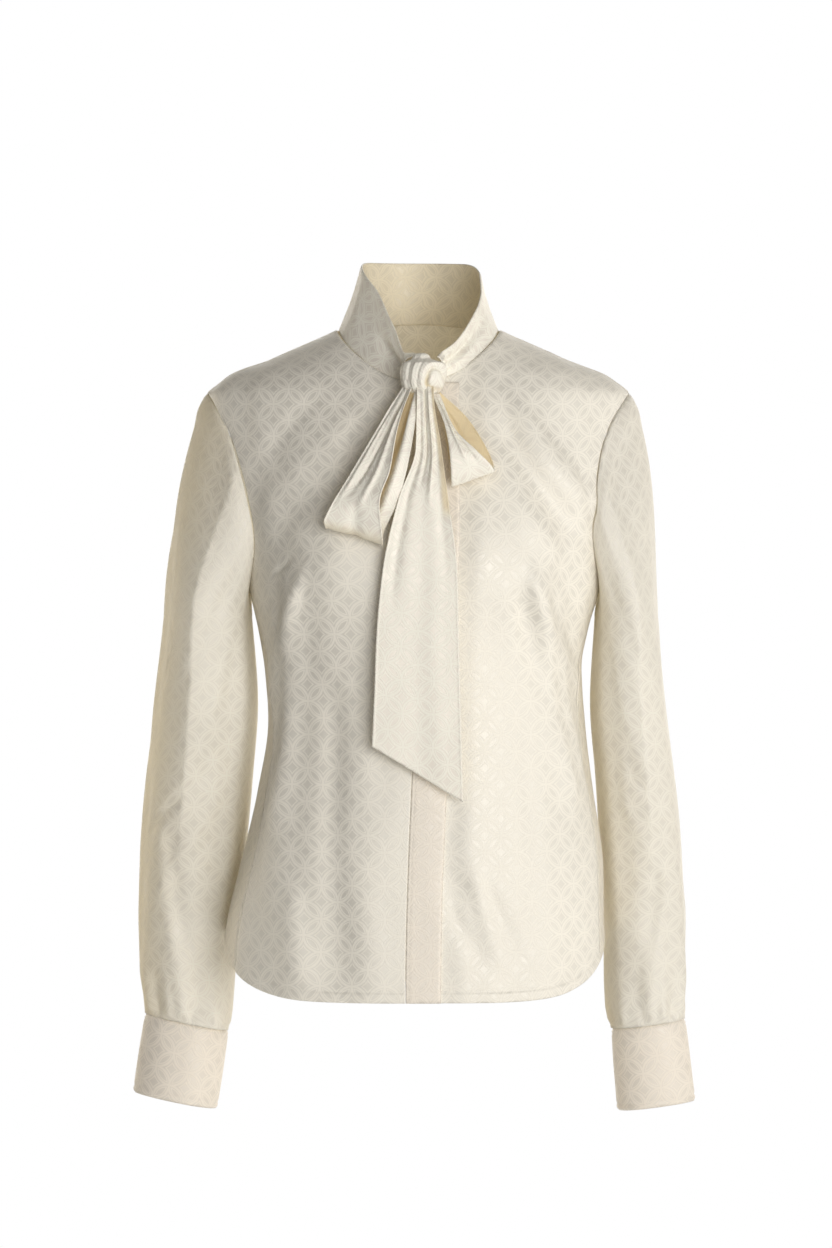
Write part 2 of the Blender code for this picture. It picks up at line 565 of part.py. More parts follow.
def sleeve_grid(side, table, cuff):
    """Sleeve from the armhole seam to the cuff seam, rows of rings."""
    angles = ring_angles()
    azimuth, height = armhole_line(side, angles, 0.0)
    start = body_point(azimuth, height)
    start[:, 0] += side * SEAM_GAP / 2.0
    heights = np.array([row[0] for row in table.values()])
    end_height = cuff["top"][0] + SEAM_GAP
    wanted = np.linspace(heights[0], heights[-1], SLEEVE_ROWS + 1)
    _, outer, inner, middle_depth, half_depth, slant = read_columns(table, 0, wanted)
    rings = []
    for index, level in enumerate(wanted):
        middle = (side * (outer[index] + inner[index]) / 2.0, middle_depth[index], level)
        half_width = (outer[index] - inner[index]) / 2.0
        rings.append(ring(angles, middle, half_width, half_depth[index], side, slant[index]))
    first = rings[0]
    reach = np.linalg.norm(first - start, axis=1)[:, None]
    outward = SLEEVE_LEAVE_TOP * np.clip(np.cos(angles), 0.0, 1.0) + SLEEVE_LEAVE_OUT
    forward = SLEEVE_LEAVE_FRONT * np.sin(angles)
    leave = np.stack([side * outward, -forward, -np.ones(len(angles))], axis=-1)
    leave = leave / np.linalg.norm(leave, axis=1)[:, None] * reach
    arrive = np.array([side * SLEEVE_SETTLE[0], SLEEVE_SETTLE[1], -1.0]) * reach
    head = []
    for t in np.linspace(0.0, 1.0, SLEEVE_HEAD_ROWS + 1)[:-1]:
        head.append((1.0 + 2.0 * t) * (1.0 - t) ** 2 * start + t ** 2 * (3.0 - 2.0 * t) * first
                    + t * (1.0 - t) ** 2 * leave + t ** 2 * (t - 1.0) * arrive)
    last = cuff_ring(side, cuff, 0.0)
    last[:, 2] += end_height - cuff["top"][0]
    grid = np.array(head + rings + [last])
    ridge = sleeve_fold_height(angles[None], grid[..., 2])
    ridge[0] = 0.0
    ridge[-1] = 0.0
    return grid + ridge[..., None] * side * surface_normals(grid, True)


def sleeve_fold_height(angles, height):
    """Sum of the folds along a sleeve: a bell round it, faded past each end."""
    total = np.zeros(height.shape)
    for middle, top, bottom, half_width, ridge in SLEEVE_FOLDS.values():
        turn = np.degrees(np.angle(np.exp(1j * (angles - np.radians(middle)))))
        past = np.clip(height - top, 0.0, None) + np.clip(bottom - height, 0.0, None)
        total += ridge * np.exp(-(turn / half_width) ** 2 - (past / SLEEVE_FOLD_FADE) ** 2)
    return total


def cuff_grid(side, cuff):
    """Cuff as rows of rings."""
    return np.array([cuff_ring(side, cuff, share) for share in np.linspace(0.0, 1.0, CUFF_ROWS + 1)])


def collar_azimuths():
    """Azimuths of the collar's columns along the neck seam, right front to left front."""
    front_right = front_panel_lines(-1, -PLACKET_WIDTH - SEAM_GAP)[-1, :NECK_COLUMNS + 1, 0]
    front_left = front_panel_lines(1, -UNDERLAP_WIDTH)[-1, :NECK_COLUMNS + 1, 0]
    back = np.linspace(front_right[-1], front_left[-1] - 2.0 * np.pi, 2 * NECK_COLUMNS + 1)
    left = (front_left - 2.0 * np.pi)[::-1]
    return np.concatenate([front_right[1:-1], back, left[1:-1]])


def knot_side_point(azimuth_round, height_share):
    """Point just off the knot: angle round it and share of its half height."""
    half = np.array(KNOT_HALF_SIZE) + 2.0 * SEAM_GAP
    slim = (1.0 - height_share ** 2) ** (KNOT_BARREL / 2.0)
    offset = np.stack([half[0] * np.sin(azimuth_round) * slim,
                       -half[1] * np.cos(azimuth_round) * slim,
                       half[2] * height_share], axis=-1)
    return np.array(KNOT_MIDDLE) + offset


def collar_grid():
    """Collar band: columns along the neck seam, rows from the seam to the free edge."""
    azimuth = collar_azimuths()
    seam = body_point(azimuth, neck_height(azimuth))
    seam[:, 2] += SEAM_GAP
    rows = np.array(list(COLLAR_TOP.values()))
    places = -rows[:, 0]
    radius = smooth_curve(places, rows[:, 1], -np.degrees(azimuth))
    height = smooth_curve(places, rows[:, 2], -np.degrees(azimuth))
    edge = np.stack([radius * np.sin(azimuth), -radius * np.cos(azimuth), height], axis=-1)
    share = np.linspace(0.0, 1.0, COLLAR_ROWS + 1)
    grid = seam[None] * (1.0 - share)[:, None, None] + edge[None] * share[:, None, None]
    belly = COLLAR_BELLY * np.sin(np.pi * share)[:, None]
    grid[..., 0] += belly * np.sin(azimuth)[None]
    grid[..., 1] -= belly * np.cos(azimuth)[None]
    seat = np.radians(COLLAR_SEAT_ANGLE)
    right_end = knot_side_point(-seat, np.linspace(*COLLAR_RIGHT_SEAT, COLLAR_ROWS + 1))
    left_end = knot_side_point(seat, np.linspace(*COLLAR_LEFT_SEAT, COLLAR_ROWS + 1))
    between = np.arange(1, COLLAR_KNOT_COLUMNS)[:, None, None] / COLLAR_KNOT_COLUMNS
    right_link = right_end[None] * (1.0 - between) + grid[:, 0][None] * between
    left_link = grid[:, -1][None] * (1.0 - between) + left_end[None] * between
    columns = [right_end] + list(right_link) + [grid[:, c] for c in range(grid.shape[1])]
    columns = columns + list(left_link) + [left_end]
    whole = np.stack(columns, axis=1)
    along = np.arange(whole.shape[1])
    near_knot = (np.exp(-(along / COLLAR_PLEAT_REACH) ** 2)
                 + np.exp(-((along[-1] - along) / COLLAR_PLEAT_REACH) ** 2))
    wave = np.cos(2.0 * np.pi * COLLAR_PLEATS * share)[:, None]
    ripple = COLLAR_PLEAT_DEPTH * wave * near_knot[None] * np.sin(np.pi * share)[:, None]
    ripple[:, 0] = 0.0
    ripple[:, -1] = 0.0
    whole[..., 1] -= ripple
    return whole


def knot_rings():
    """Knot as rings round its upright axis, with soft pleats, closed by two poles."""
    tilt = np.linspace(-0.5, 0.5, KNOT_ROWS) * np.pi * KNOT_REACH
    share = np.sin(tilt)
    slim = np.cos(tilt) ** KNOT_BARREL
    angles = np.linspace(0.0, 2.0 * np.pi, KNOT_COLUMNS, endpoint=False)
    wave = np.cos(KNOT_PLEATS * angles[None] + 2.0 * share[:, None])
    pleats = 1.0 - KNOT_PLEAT_DEPTH * (0.5 + 0.5 * wave)
    x = KNOT_HALF_SIZE[0] * np.sin(angles)[None] * slim[:, None] * pleats
    y = -KNOT_HALF_SIZE[1] * np.cos(angles)[None] * slim[:, None] * pleats
    z = np.broadcast_to(KNOT_HALF_SIZE[2] * share[:, None], x.shape)
    return np.stack([x, y, z], axis=-1) + np.array(KNOT_MIDDLE)


def ribbon_grid(table, rows, both_ends):
    """Ribbon between two smooth edge lines, pleated where it leaves the knot."""
    stations = np.array(list(table.values()))
    middle = (stations[:, :3] + stations[:, 3:]) / 2.0
    length = np.concatenate([[0.0], np.cumsum(np.linalg.norm(np.diff(middle, axis=0), axis=1))])
    wanted = np.linspace(0.0, length[-1], rows + 1)
    edges = np.stack([smooth_curve(length, stations[:, c], wanted) for c in range(6)], axis=-1)
    share = np.linspace(0.0, 1.0, RIBBON_COLUMNS + 1)
    left = edges[:, None, :3]
    right = edges[:, None, 3:]
    grid = left * (1.0 - share)[None, :, None] + right * share[None, :, None]
    run = wanted / length[-1]
    fade = np.exp(-(run / PLEAT_REACH) ** 2)
    if both_ends:
        fade = fade + np.exp(-((1.0 - run) / PLEAT_REACH) ** 2)
    start = smooth_step(run / PLEAT_START)
    if both_ends:
        start = start * smooth_step((1.0 - run) / PLEAT_START)
    width = np.linalg.norm(edges[:, 3:] - edges[:, :3], axis=1)
    wave = np.sin(2.0 * np.pi * RIBBON_PLEATS * share)
    shift = PLEAT_DEPTH_SHARE * (width * fade * start)[:, None] * wave[None]
    return grid + shift[..., None] * surface_normals(grid, False)


def surface_normals(grid, closed):
    """Unit normals of a grid, from the differences along its rows and columns."""
    down = np.gradient(grid, axis=0)
    if closed:
        across = (np.roll(grid, -1, axis=1) - np.roll(grid, 1, axis=1)) / 2.0
    else:
        across = np.gradient(grid, axis=1)
    normal = np.cross(across, down)
    return normal / np.maximum(np.linalg.norm(normal, axis=-1, keepdims=True), 1e-9)


def grid_triangles(rows, columns, closed, start, turned):
    """Triangles of a grid of points; turned flips which way they face."""
    steps = columns if closed else columns - 1
    row, column = np.meshgrid(np.arange(rows - 1), np.arange(steps), indexing="ij")
    after = (column + 1) % columns
    a = start + row * columns + column
    b = start + row * columns + after
    c = start + (row + 1) * columns + after
    d = start + (row + 1) * columns + column
    first = np.stack([a, b, c], axis=-1).reshape(-1, 3)
    second = np.stack([a, c, d], axis=-1).reshape(-1, 3)
    triangles = np.concatenate([first, second])
    return triangles[:, ::-1] if turned else triangles


def rim_triangles(line, offset):
    """Triangles between a line of outer points and the inner points behind them."""
    a = line[:-1]
    b = line[1:]
    first = np.stack([a, b + offset, a + offset], axis=-1)
    second = np.stack([a, b, b + offset], axis=-1)
    return np.concatenate([first, second])


def signed_volume(points, triangles):
    """Volume inside a closed mesh, positive when its faces point out."""
    a, b, c = (points[triangles[:, corner]] for corner in range(3))
    return float(np.sum(a * np.cross(b, c))) / 6.0


def cloth_wall(name, outer, outward, closed=False, keep_off=None):
    """Wall of even thickness behind a grid of outer points.

    outward is the way out at each point. keep_off holds, for a row's index, a direction
    that the rim of the row may not lean along.
    """
    rows, columns = outer.shape[:2]
    inward = -outward
    for row, direction in (keep_off or {}).items():
        direction = np.array(direction, float)
        lean = np.clip(inward[row] @ direction, 0.0, None)
        inward[row] -= lean[:, None] * direction
        inward[row] /= np.linalg.norm(inward[row], axis=-1, keepdims=True)
    inner = outer + CLOTH * inward
    points = np.concatenate([outer.reshape(-1, 3), inner.reshape(-1, 3)])
    count = rows * columns
    index = np.arange(count).reshape(rows, columns)
    parts = [grid_triangles(rows, columns, closed, 0, True),
             grid_triangles(rows, columns, closed, count, False)]
    if closed:
        first = np.append(index[0], index[0, 0])
        last = np.append(index[-1], index[-1, 0])[::-1]
        parts += [rim_triangles(first, count), rim_triangles(last, count)]
    else:
        outline = np.concatenate([index[0], index[1:, -1], index[-1, -2::-1], index[-2::-1, 0]])
        parts.append(rim_triangles(outline, count))
    triangles = np.concatenate(parts)
    if signed_volume(points, triangles) < 0.0:
        triangles = triangles[:, ::-1]
    return add_piece(name, points, triangles)


def rounded_body(name, rings):
    """Closed body from rings and a pole at each end."""
    rows, columns = rings.shape[:2]
    bottom = rings[0].mean(axis=0)
    top = rings[-1].mean(axis=0)
    bottom[2] -= KNOT_POLE
    top[2] += KNOT_POLE
    points = np.concatenate([rings.reshape(-1, 3), [bottom, top]])
    line = np.arange(columns)
    after = (line + 1) % columns
    lower = np.stack([np.full(columns, rows * columns), after, line], axis=-1)
    high = (rows - 1) * columns
    upper = np.stack([np.full(columns, rows * columns + 1), high + line, high + after], axis=-1)
    triangles = np.concatenate([grid_triangles(rows, columns, True, 0, False), lower, upper])
    if signed_volume(points, triangles) < 0.0:
        triangles = triangles[:, ::-1]
    return add_piece(name, points, triangles)


def silk_material(name):
    """Plain ivory silk for one piece."""
    material = bpy.data.materials.new(name)
    material.use_nodes = True
    shader = material.node_tree.nodes["Principled BSDF"]
    colour, roughness = SILK
    shader.inputs["Base Color"].default_value = (*colour, 1.0)
    shader.inputs["Roughness"].default_value = roughness
    shader.inputs["Metallic"].default_value = 0.0
    return material


def add_piece(name, points, triangles):
    """Object of one piece, smooth shaded, in the blouse's collection."""
    mesh = bpy.data.meshes.new(name)
    mesh.from_pydata(points.tolist(), [], triangles.tolist())
    mesh.materials.append(silk_material(name + "_silk"))
    mesh.shade_smooth()
    piece = bpy.data.objects.new(name, mesh)
    bpy.data.collections["tie_neck_blouse"].objects.link(piece)
    return piece


def clear_scene():
    """Remove what the file holds and add the blouse's collection."""
    for old in list(bpy.data.objects):
        bpy.data.objects.remove(old, do_unlink=True)
    collection = bpy.data.collections.new("tie_neck_blouse")
    bpy.context.scene.collection.children.link(collection)


def build_body():
    """Fronts, placket and back."""
    cloth_wall("front_right", *front_right_grid())
    cloth_wall("front_left", *front_left_grid())
    cloth_wall("placket", *placket_grid())
    cloth_wall("back", *back_grid())


def build_sleeves():
    """Sleeves and cuffs."""
    for side, name, table, cuff in ((-1, "right", RIGHT_SLEEVE, RIGHT_CUFF),
                                    (1, "left", LEFT_SLEEVE, LEFT_CUFF)):
        sleeve = sleeve_grid(side, table, cuff)
        cloth_wall("sleeve_" + name, sleeve, side * surface_normals(sleeve, True), closed=True,
                   keep_off={0: (-side, 0, 0), len(sleeve) - 1: (0, 0, -1)})
        band = cuff_grid(side, cuff)
        cloth_wall("cuff_" + name, band, side * surface_normals(band, True), closed=True,
                   keep_off={0: (0, 0, 1)})


def build_tie():
    """Collar band, knot, loops and tails."""
    collar = collar_grid()
    cloth_wall("collar", collar, -surface_normals(collar, False), keep_off={0: (0, 0, -1)})
    rounded_body("knot", knot_rings())
    ribbons = {
        "loop_right": (BIG_LOOP, LOOP_ROWS, True),
        "loop_left": (SMALL_LOOP, LOOP_ROWS, True),
        "tail_front": (FRONT_TAIL, TAIL_ROWS, False),
        "tail_back": (BACK_TAIL, TAIL_ROWS, False),
    }
    for name, (table, rows, both_ends) in ribbons.items():
        ribbon = ribbon_grid(table, rows, both_ends)
        cloth_wall(name, ribbon, surface_normals(ribbon, False))


clear_scene()
build_body()
build_sleeves()
build_tie()
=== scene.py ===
import bpy
import numpy as np
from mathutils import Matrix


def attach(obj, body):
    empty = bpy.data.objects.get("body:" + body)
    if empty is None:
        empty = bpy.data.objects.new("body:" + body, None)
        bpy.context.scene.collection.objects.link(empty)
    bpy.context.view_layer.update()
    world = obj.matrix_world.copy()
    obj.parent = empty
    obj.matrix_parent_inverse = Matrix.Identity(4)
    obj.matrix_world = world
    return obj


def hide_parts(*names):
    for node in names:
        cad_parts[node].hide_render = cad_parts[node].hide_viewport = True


# Tie neck blouse in ivory silk jacquard, worn and hollow. Each piece is a thin shell of cloth on
# the form of its solid, worked out from the same level sections, rings and edge lines, with
# the smaller creases, the weave and the stitching added. Metres, +Z up, the front faces -Y.

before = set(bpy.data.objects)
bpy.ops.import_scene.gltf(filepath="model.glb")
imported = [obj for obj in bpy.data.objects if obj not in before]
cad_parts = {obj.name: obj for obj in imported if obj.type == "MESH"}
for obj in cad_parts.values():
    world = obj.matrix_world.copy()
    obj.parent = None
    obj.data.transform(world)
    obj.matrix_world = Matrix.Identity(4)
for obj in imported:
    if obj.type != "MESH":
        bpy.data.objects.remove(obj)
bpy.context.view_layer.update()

# ---- Form of the blouse ----

SHELL = 0.0007
SEAM_GAP = 0.0004
UNDERLAP_DEPTH = 0.0026
UNDERLAP_BLEND = 0.022
UNDERLAP_FLAT = 0.002

PLACKET_WIDTH = 0.0315
UNDERLAP_WIDTH = 0.0240
PLACKET_EDGE_AT_HEM = 0.0205
PLACKET_LEAN = 0.0165
PLACKET_LEAN_HEIGHT = 0.50

HEM_HEIGHT = -0.5960
HEM_RISE = 0.0540
HEM_RISE_AZIMUTH = 95.0
HEM_RISE_SPREAD = 25.0

NECK_FRONT = -0.0380
NECK_SIDE = 0.0140
NECK_BACK = 0.0240
NECK_CURVE = 2.1
SHOULDER_SEAM_FORWARD = 0.0100

ARMHOLE_TOP = -0.0440
ARMHOLE_BOTTOM = -0.2254
ARMHOLE_HALF_WIDTH = 0.0580
ARMHOLE_EGG = 0.20

SIDE_SEAM_AZIMUTHS = {-1: 72.0, 1: 77.0}
SIDE_SEAM_TURN_TOP = -0.2254
SIDE_SEAM_TURN_BOTTOM = -0.3000
SIDE_RADIUS = 0.150

BUST_AZIMUTH = 33.0
BUST_HEIGHT = -0.200
BUST_FULLNESS = 0.0100
BUST_AZIMUTH_SPREAD = 20.0
BUST_HEIGHT_SPREAD = 0.055

# height, right half width, left half width, front depth, back depth, squareness
BODY_LEVELS = {
    "below hem": (-0.62, 0.183, 0.175, 0.114, 0.128, 2.3),
    "hem": (-0.545, 0.1776, 0.1715, 0.115, 0.125, 2.3),
    "hip": (-0.48, 0.164, 0.17, 0.115, 0.118, 2.3),
    "high hip": (-0.41, 0.1475, 0.161, 0.114, 0.104, 2.3),
    "waist": (-0.345, 0.1375, 0.1535, 0.113, 0.093, 2.3),
    "under bust": (-0.3, 0.1405, 0.15, 0.116, 0.091, 2.3),
    "side": (-0.262, 0.1465, 0.156, 0.119, 0.094, 2.25),
    "armpit": (-0.2254, 0.1546, 0.167, 0.1215, 0.098, 2.2),
    "bust": (-0.18, 0.163, 0.175, 0.119, 0.102, 2.15),
    "chest": (-0.135, 0.18, 0.185, 0.111, 0.104, 2.1),
    "upper chest": (-0.085, 0.193, 0.193, 0.096, 0.101, 1.95),
    "shoulder tip": (-0.048, 0.1955, 0.1955, 0.084, 0.093, 1.85),
    "shoulder": (-0.031, 0.178, 0.178, 0.077, 0.087, 1.75),
    "mid shoulder": (-0.0129, 0.1356, 0.1356, 0.067, 0.079, 1.7),
    "neck side": (0.014, 0.0745, 0.0755, 0.052, 0.072, 1.8),
    "neck back": (0.03, 0.045, 0.045, 0.042, 0.064, 2.0),
}

# Largest folds: azimuth and height of each end, half width, depth
FOLD_LINE_RADIUS = 0.13
BODY_FOLDS = {
    "right bust to waist": (-52.0, -0.235, -63.0, -0.42, 0.014, 0.005),
    "left bust to hip": (46.0, -0.225, 66.0, -0.4, 0.013, 0.005),
    "left hollow beside fold": (60.0, -0.215, 84.0, -0.38, 0.016, -0.004),
    "right front trough": (-38.0, -0.33, -36.0, -0.56, 0.02, -0.0035),
    "left hem trough": (20.0, -0.5, 38.0, -0.575, 0.016, -0.003),
    "left chest drape": (40.0, -0.075, 70.0, -0.165, 0.018, 0.0035),
    "right chest drape": (-38.0, -0.08, -66.0, -0.165, 0.018, 0.0025),
    "back right waist": (-128.0, -0.25, -118.0, -0.5, 0.018, 0.0045),
    "back left waist": (128.0, -0.25, 120.0, -0.5, 0.018, 0.0045),
    "back middle hollow": (180.0, -0.28, 178.0, -0.44, 0.026, -0.005),
    "back right blade": (-145.0, -0.11, -122.0, -0.2, 0.02, 0.003),
    "back left blade": (145.0, -0.11, 122.0, -0.2, 0.02, 0.003),
}

# Smaller creases of the body as they lie in a front view: across and height of each end, how
# far the line bows aside, half width, depth; a hollow is negative
FRONT_CREASES = {
    "right dart": (-0.131, -0.213, -0.112, -0.196, 0.0, 0.003, -0.0012),
    "right dart drag": (-0.13, -0.236, -0.123, -0.279, 0.004, 0.0045, 0.0016),
    "right panel ridge": (-0.101, -0.205, -0.133, -0.34, 0.006, 0.008, 0.0038),
    "right panel hollow": (-0.086, -0.22, -0.104, -0.39, 0.006, 0.011, -0.0007),
    "right front fall": (-0.074, -0.312, -0.07, -0.57, 0.004, 0.012, -0.0011),
    "right front swell": (-0.045, -0.36, -0.048, -0.585, -0.003, 0.014, 0.0008),
    "right hem cup": (-0.112, -0.49, -0.106, -0.585, 0.003, 0.012, 0.002),
    "right side sweep": (-0.137, -0.35, -0.16, -0.49, -0.006, 0.009, -0.0016),
    "right shoulder drape": (-0.09, -0.05, -0.15, -0.14, 0.006, 0.011, -0.0018),
    "right chest sweep": (-0.07, -0.09, -0.115, -0.19, -0.008, 0.012, 0.0018),
    "right yoke sweep": (-0.05, -0.07, -0.085, -0.15, 0.005, 0.009, -0.0014),
    "left shoulder drape": (0.084, -0.046, 0.166, -0.16, 0.006, 0.011, 0.0058),
    "left drape hollow": (0.07, -0.062, 0.15, -0.183, 0.006, 0.011, -0.0058),
    "left second drape": (0.056, -0.083, 0.132, -0.208, 0.004, 0.011, 0.0032),
    "left armhole pull": (0.145, -0.11, 0.164, -0.176, 0.003, 0.006, -0.0016),
    "left bust pull": (0.103, -0.21, 0.148, -0.317, 0.006, 0.0085, 0.0042),
    "left bust hollow": (0.09, -0.22, 0.138, -0.36, 0.006, 0.011, -0.0036),
    "left waist pull": (0.135, -0.315, 0.156, -0.39, 0.004, 0.008, 0.0022),
    "left hem fall": (0.03, -0.51, 0.062, -0.564, 0.002, 0.008, -0.002),
    "left hem second fall": (0.062, -0.487, 0.096, -0.564, 0.003, 0.009, -0.0022),
    "left hem swell": (0.048, -0.47, 0.076, -0.57, 0.002, 0.01, 0.0016),
    "left front fall": (0.098, -0.39, 0.104, -0.55, -0.004, 0.011, -0.0016),
}
BACK_CREASES = {
    "middle fall": (0.005, -0.33, 0.002, -0.57, 0.006, 0.013, -0.0024),
    "right fall": (-0.062, -0.31, -0.07, -0.56, -0.006, 0.012, 0.0026),
    "left fall": (0.066, -0.3, 0.076, -0.57, 0.008, 0.012, 0.0024),
    "right waist hollow": (-0.105, -0.27, -0.082, -0.41, 0.006, 0.011, -0.0026),
    "left waist hollow": (0.106, -0.26, 0.085, -0.42, -0.006, 0.011, -0.0026),
    "right blade drape": (-0.05, -0.06, -0.128, -0.19, -0.01, 0.012, 0.0026),
    "left blade drape": (0.055, -0.055, 0.13, -0.2, 0.01, 0.012, 0.0024),
    "right blade hollow": (-0.03, -0.09, -0.108, -0.23, -0.008, 0.012, -0.0022),
    "left blade hollow": (0.033, -0.085, 0.11, -0.23, 0.008, 0.012, -0.002),
    "right armhole pull": (-0.162, -0.13, -0.125, -0.21, -0.003, 0.007, -0.0018),
    "left armhole pull": (0.162, -0.135, 0.127, -0.215, 0.003, 0.007, -0.0018),
    "yoke sag": (-0.055, -0.033, 0.055, -0.035, -0.01, 0.01, -0.0014),
}

# Sleeves: height, outer edge, inner edge, middle depth, half depth, slant
SLEEVE_SQUARENESS = 2.2
RIGHT_SLEEVE = {
    "upper arm": (-0.25, 0.2335, 0.153, 0.01, 0.066, 0.0),
    "above elbow": (-0.327, 0.2438, 0.148, 0.022, 0.063, 0.0),
    "elbow": (-0.402, 0.2523, 0.1536, 0.038, 0.059, 0.0),
    "forearm": (-0.477, 0.259, 0.1612, 0.054, 0.055, 0.0),
    "lower forearm": (-0.533, 0.2614, 0.1678, 0.063, 0.052, 0.03),
    "above cuff": (-0.583, 0.26, 0.1714, 0.062, 0.047, 0.1),
    "gathers": (-0.609, 0.2562, 0.174, 0.056, 0.04, 0.17),
}
LEFT_SLEEVE = {
    "upper arm": (-0.25, 0.22, 0.163, 0.01, 0.07, 0.0),
    "above elbow": (-0.327, 0.229, 0.1592, 0.022, 0.066, 0.0),
    "elbow": (-0.402, 0.2384, 0.165, 0.038, 0.061, 0.0),
    "forearm": (-0.477, 0.2466, 0.17, 0.054, 0.056, 0.0),
    "lower forearm": (-0.533, 0.2512, 0.1732, 0.063, 0.052, 0.02),
    "above cuff": (-0.583, 0.251, 0.1742, 0.062, 0.047, 0.07),
    "gathers": (-0.61, 0.2487, 0.176, 0.056, 0.04, 0.12),
}
SLEEVE_LEAVE_OUT = 0.14
SLEEVE_LEAVE_TOP = 0.28
SLEEVE_LEAVE_FRONT = 0.20
SLEEVE_SETTLE = (0.06, 0.10)

# Folds of a sleeve: angle round it at each end, from its outer side to the front, top and
# bottom height, half width in degrees, depth
SLEEVE_FOLDS = {
    "pressed crease": (76.0, 76.0, -0.12, -0.43, 15.0, 0.0035),
    "outer front fold": (46.0, 46.0, -0.43, -0.575, 15.0, 0.003),
    "inner front hollow": (118.0, 118.0, -0.3, -0.48, 20.0, -0.003),
    "back crease": (262.0, 262.0, -0.15, -0.45, 16.0, 0.0035),
    "back hollow": (300.0, 300.0, -0.4, -0.56, 18.0, -0.003),
    "front tuck": (92.0, 92.0, -0.575, -0.605, 12.0, 0.003),
    "back tuck": (285.0, 285.0, -0.565, -0.605, 12.0, 0.0035),
}
SLEEVE_CREASES = {
    "pressed edge": (74.0, 80.0, -0.09, -0.42, 3.0, 0.0012),
    "head drape": (50.0, 78.0, -0.075, -0.19, 12.0, -0.0022),
    "front drag": (110.0, 62.0, -0.23, -0.33, 9.0, -0.002),
    "second drag": (124.0, 84.0, -0.26, -0.385, 9.0, 0.0018),
    "elbow break": (96.0, 40.0, -0.395, -0.45, 9.0, -0.0022),
    "elbow swell": (112.0, 60.0, -0.42, -0.5, 10.0, 0.002),
    "forearm sweep": (58.0, 84.0, -0.455, -0.59, 8.0, 0.002),
    "forearm hollow": (72.0, 104.0, -0.47, -0.6, 9.0, -0.0022),
    "inner fall": (140.0, 132.0, -0.25, -0.56, 11.0, 0.0022),
    "outer fall": (18.0, 26.0, -0.18, -0.56, 10.0, -0.0016),
    "back drag": (250.0, 292.0, -0.23, -0.35, 10.0, -0.0022),
    "back break": (262.0, 318.0, -0.39, -0.45, 9.0, -0.0024),
    "back swell": (250.0, 306.0, -0.415, -0.51, 10.0, 0.0022),
    "back sweep": (300.0, 272.0, -0.46, -0.6, 9.0, 0.002),
    "back fall": (226.0, 236.0, -0.2, -0.56, 11.0, -0.0018),
}
SLEEVE_FOLD_FADE = 0.030
# Mean radius of a sleeve and a cuff, for their slow waves
SLEEVE_RADIUS = 0.056
CUFF_RADIUS = 0.035
# Light through a sleeve: blend in degrees, and how far the colour is painted golden, a painted
# glow, for its strength
GLOW_BLEND = 80.0
PAINTED_GLOW_SHARE = 0.16

# Gathers above a cuff: angle round it, half width in degrees, depth, reach upwards
CUFF_GATHERS = {
    "lap pleat": (36.0, 5.0, 0.003, 0.06),
    "second pleat": (52.0, 5.0, -0.0026, 0.045),
    "third pleat": (70.0, 6.0, 0.003, 0.07),
    "front pleat": (97.0, 5.0, -0.0024, 0.04),
    "inner front pleat": (128.0, 7.0, 0.0026, 0.055),
    "inner pleat": (158.0, 6.0, -0.002, 0.035),
    "inner back pleat": (196.0, 7.0, 0.0024, 0.05),
    "back pleat": (232.0, 6.0, -0.0026, 0.045),
    "wide back pleat": (262.0, 8.0, 0.0032, 0.065),
    "outer back pleat": (300.0, 6.0, -0.0024, 0.04),
    "outer pleat": (330.0, 6.0, 0.0022, 0.045),
}

CUFF_DEPTH = 0.052
RIGHT_CUFF = {
    "top": (-0.627, 0.2156, 0.0388, 0.0305),
    "bottom": (-0.6991, 0.2263, 0.0392, 0.0315),
    "slant": 0.21,
}
LEFT_CUFF = {
    "top": (-0.6284, 0.2143, 0.0345, 0.0335),
    "bottom": (-0.7038, 0.2217, 0.0366, 0.033),
    "slant": 0.135,
}
CUFF_LAP_ANGLE = 24.0
CUFF_LAP_STEP = 0.0014
CUFF_LAP_FADE = 70.0
CUFF_TUCK = 0.0016

KNOT_MIDDLE = (0.0044, -0.1065, -0.0330)
KNOT_HALF_SIZE = (0.0215, 0.0150, 0.0190)
KNOT_BARREL = 0.60

# Collar band: azimuth, radius and height of its free edge
COLLAR_TOP = {
    "right knot": (-9.0, 0.088, -0.013),
    "right front": (-18.0, 0.0735, 0.013),
    "right side front": (-45.0, 0.056, 0.05),
    "right side": (-90.0, 0.0525, 0.072),
    "right back": (-135.0, 0.06, 0.079),
    "back": (-180.0, 0.062, 0.08),
    "left back": (-225.0, 0.06, 0.078),
    "left side": (-270.0, 0.058, 0.064),
    "left side front": (-310.0, 0.07, 0.03),
    "left front": (-335.0, 0.08, -0.002),
    "left knot": (-346.0, 0.09, -0.012),
}
COLLAR_BELLY = -0.0015
COLLAR_TUCK = 0.0012
COLLAR_PLEATS = 2.5
COLLAR_PLEAT_DEPTH = 0.0022
COLLAR_SEAT_ANGLE = 118.0
COLLAR_RIGHT_SEAT = (-0.50, 0.80)
COLLAR_LEFT_SEAT = (-0.30, 0.85)

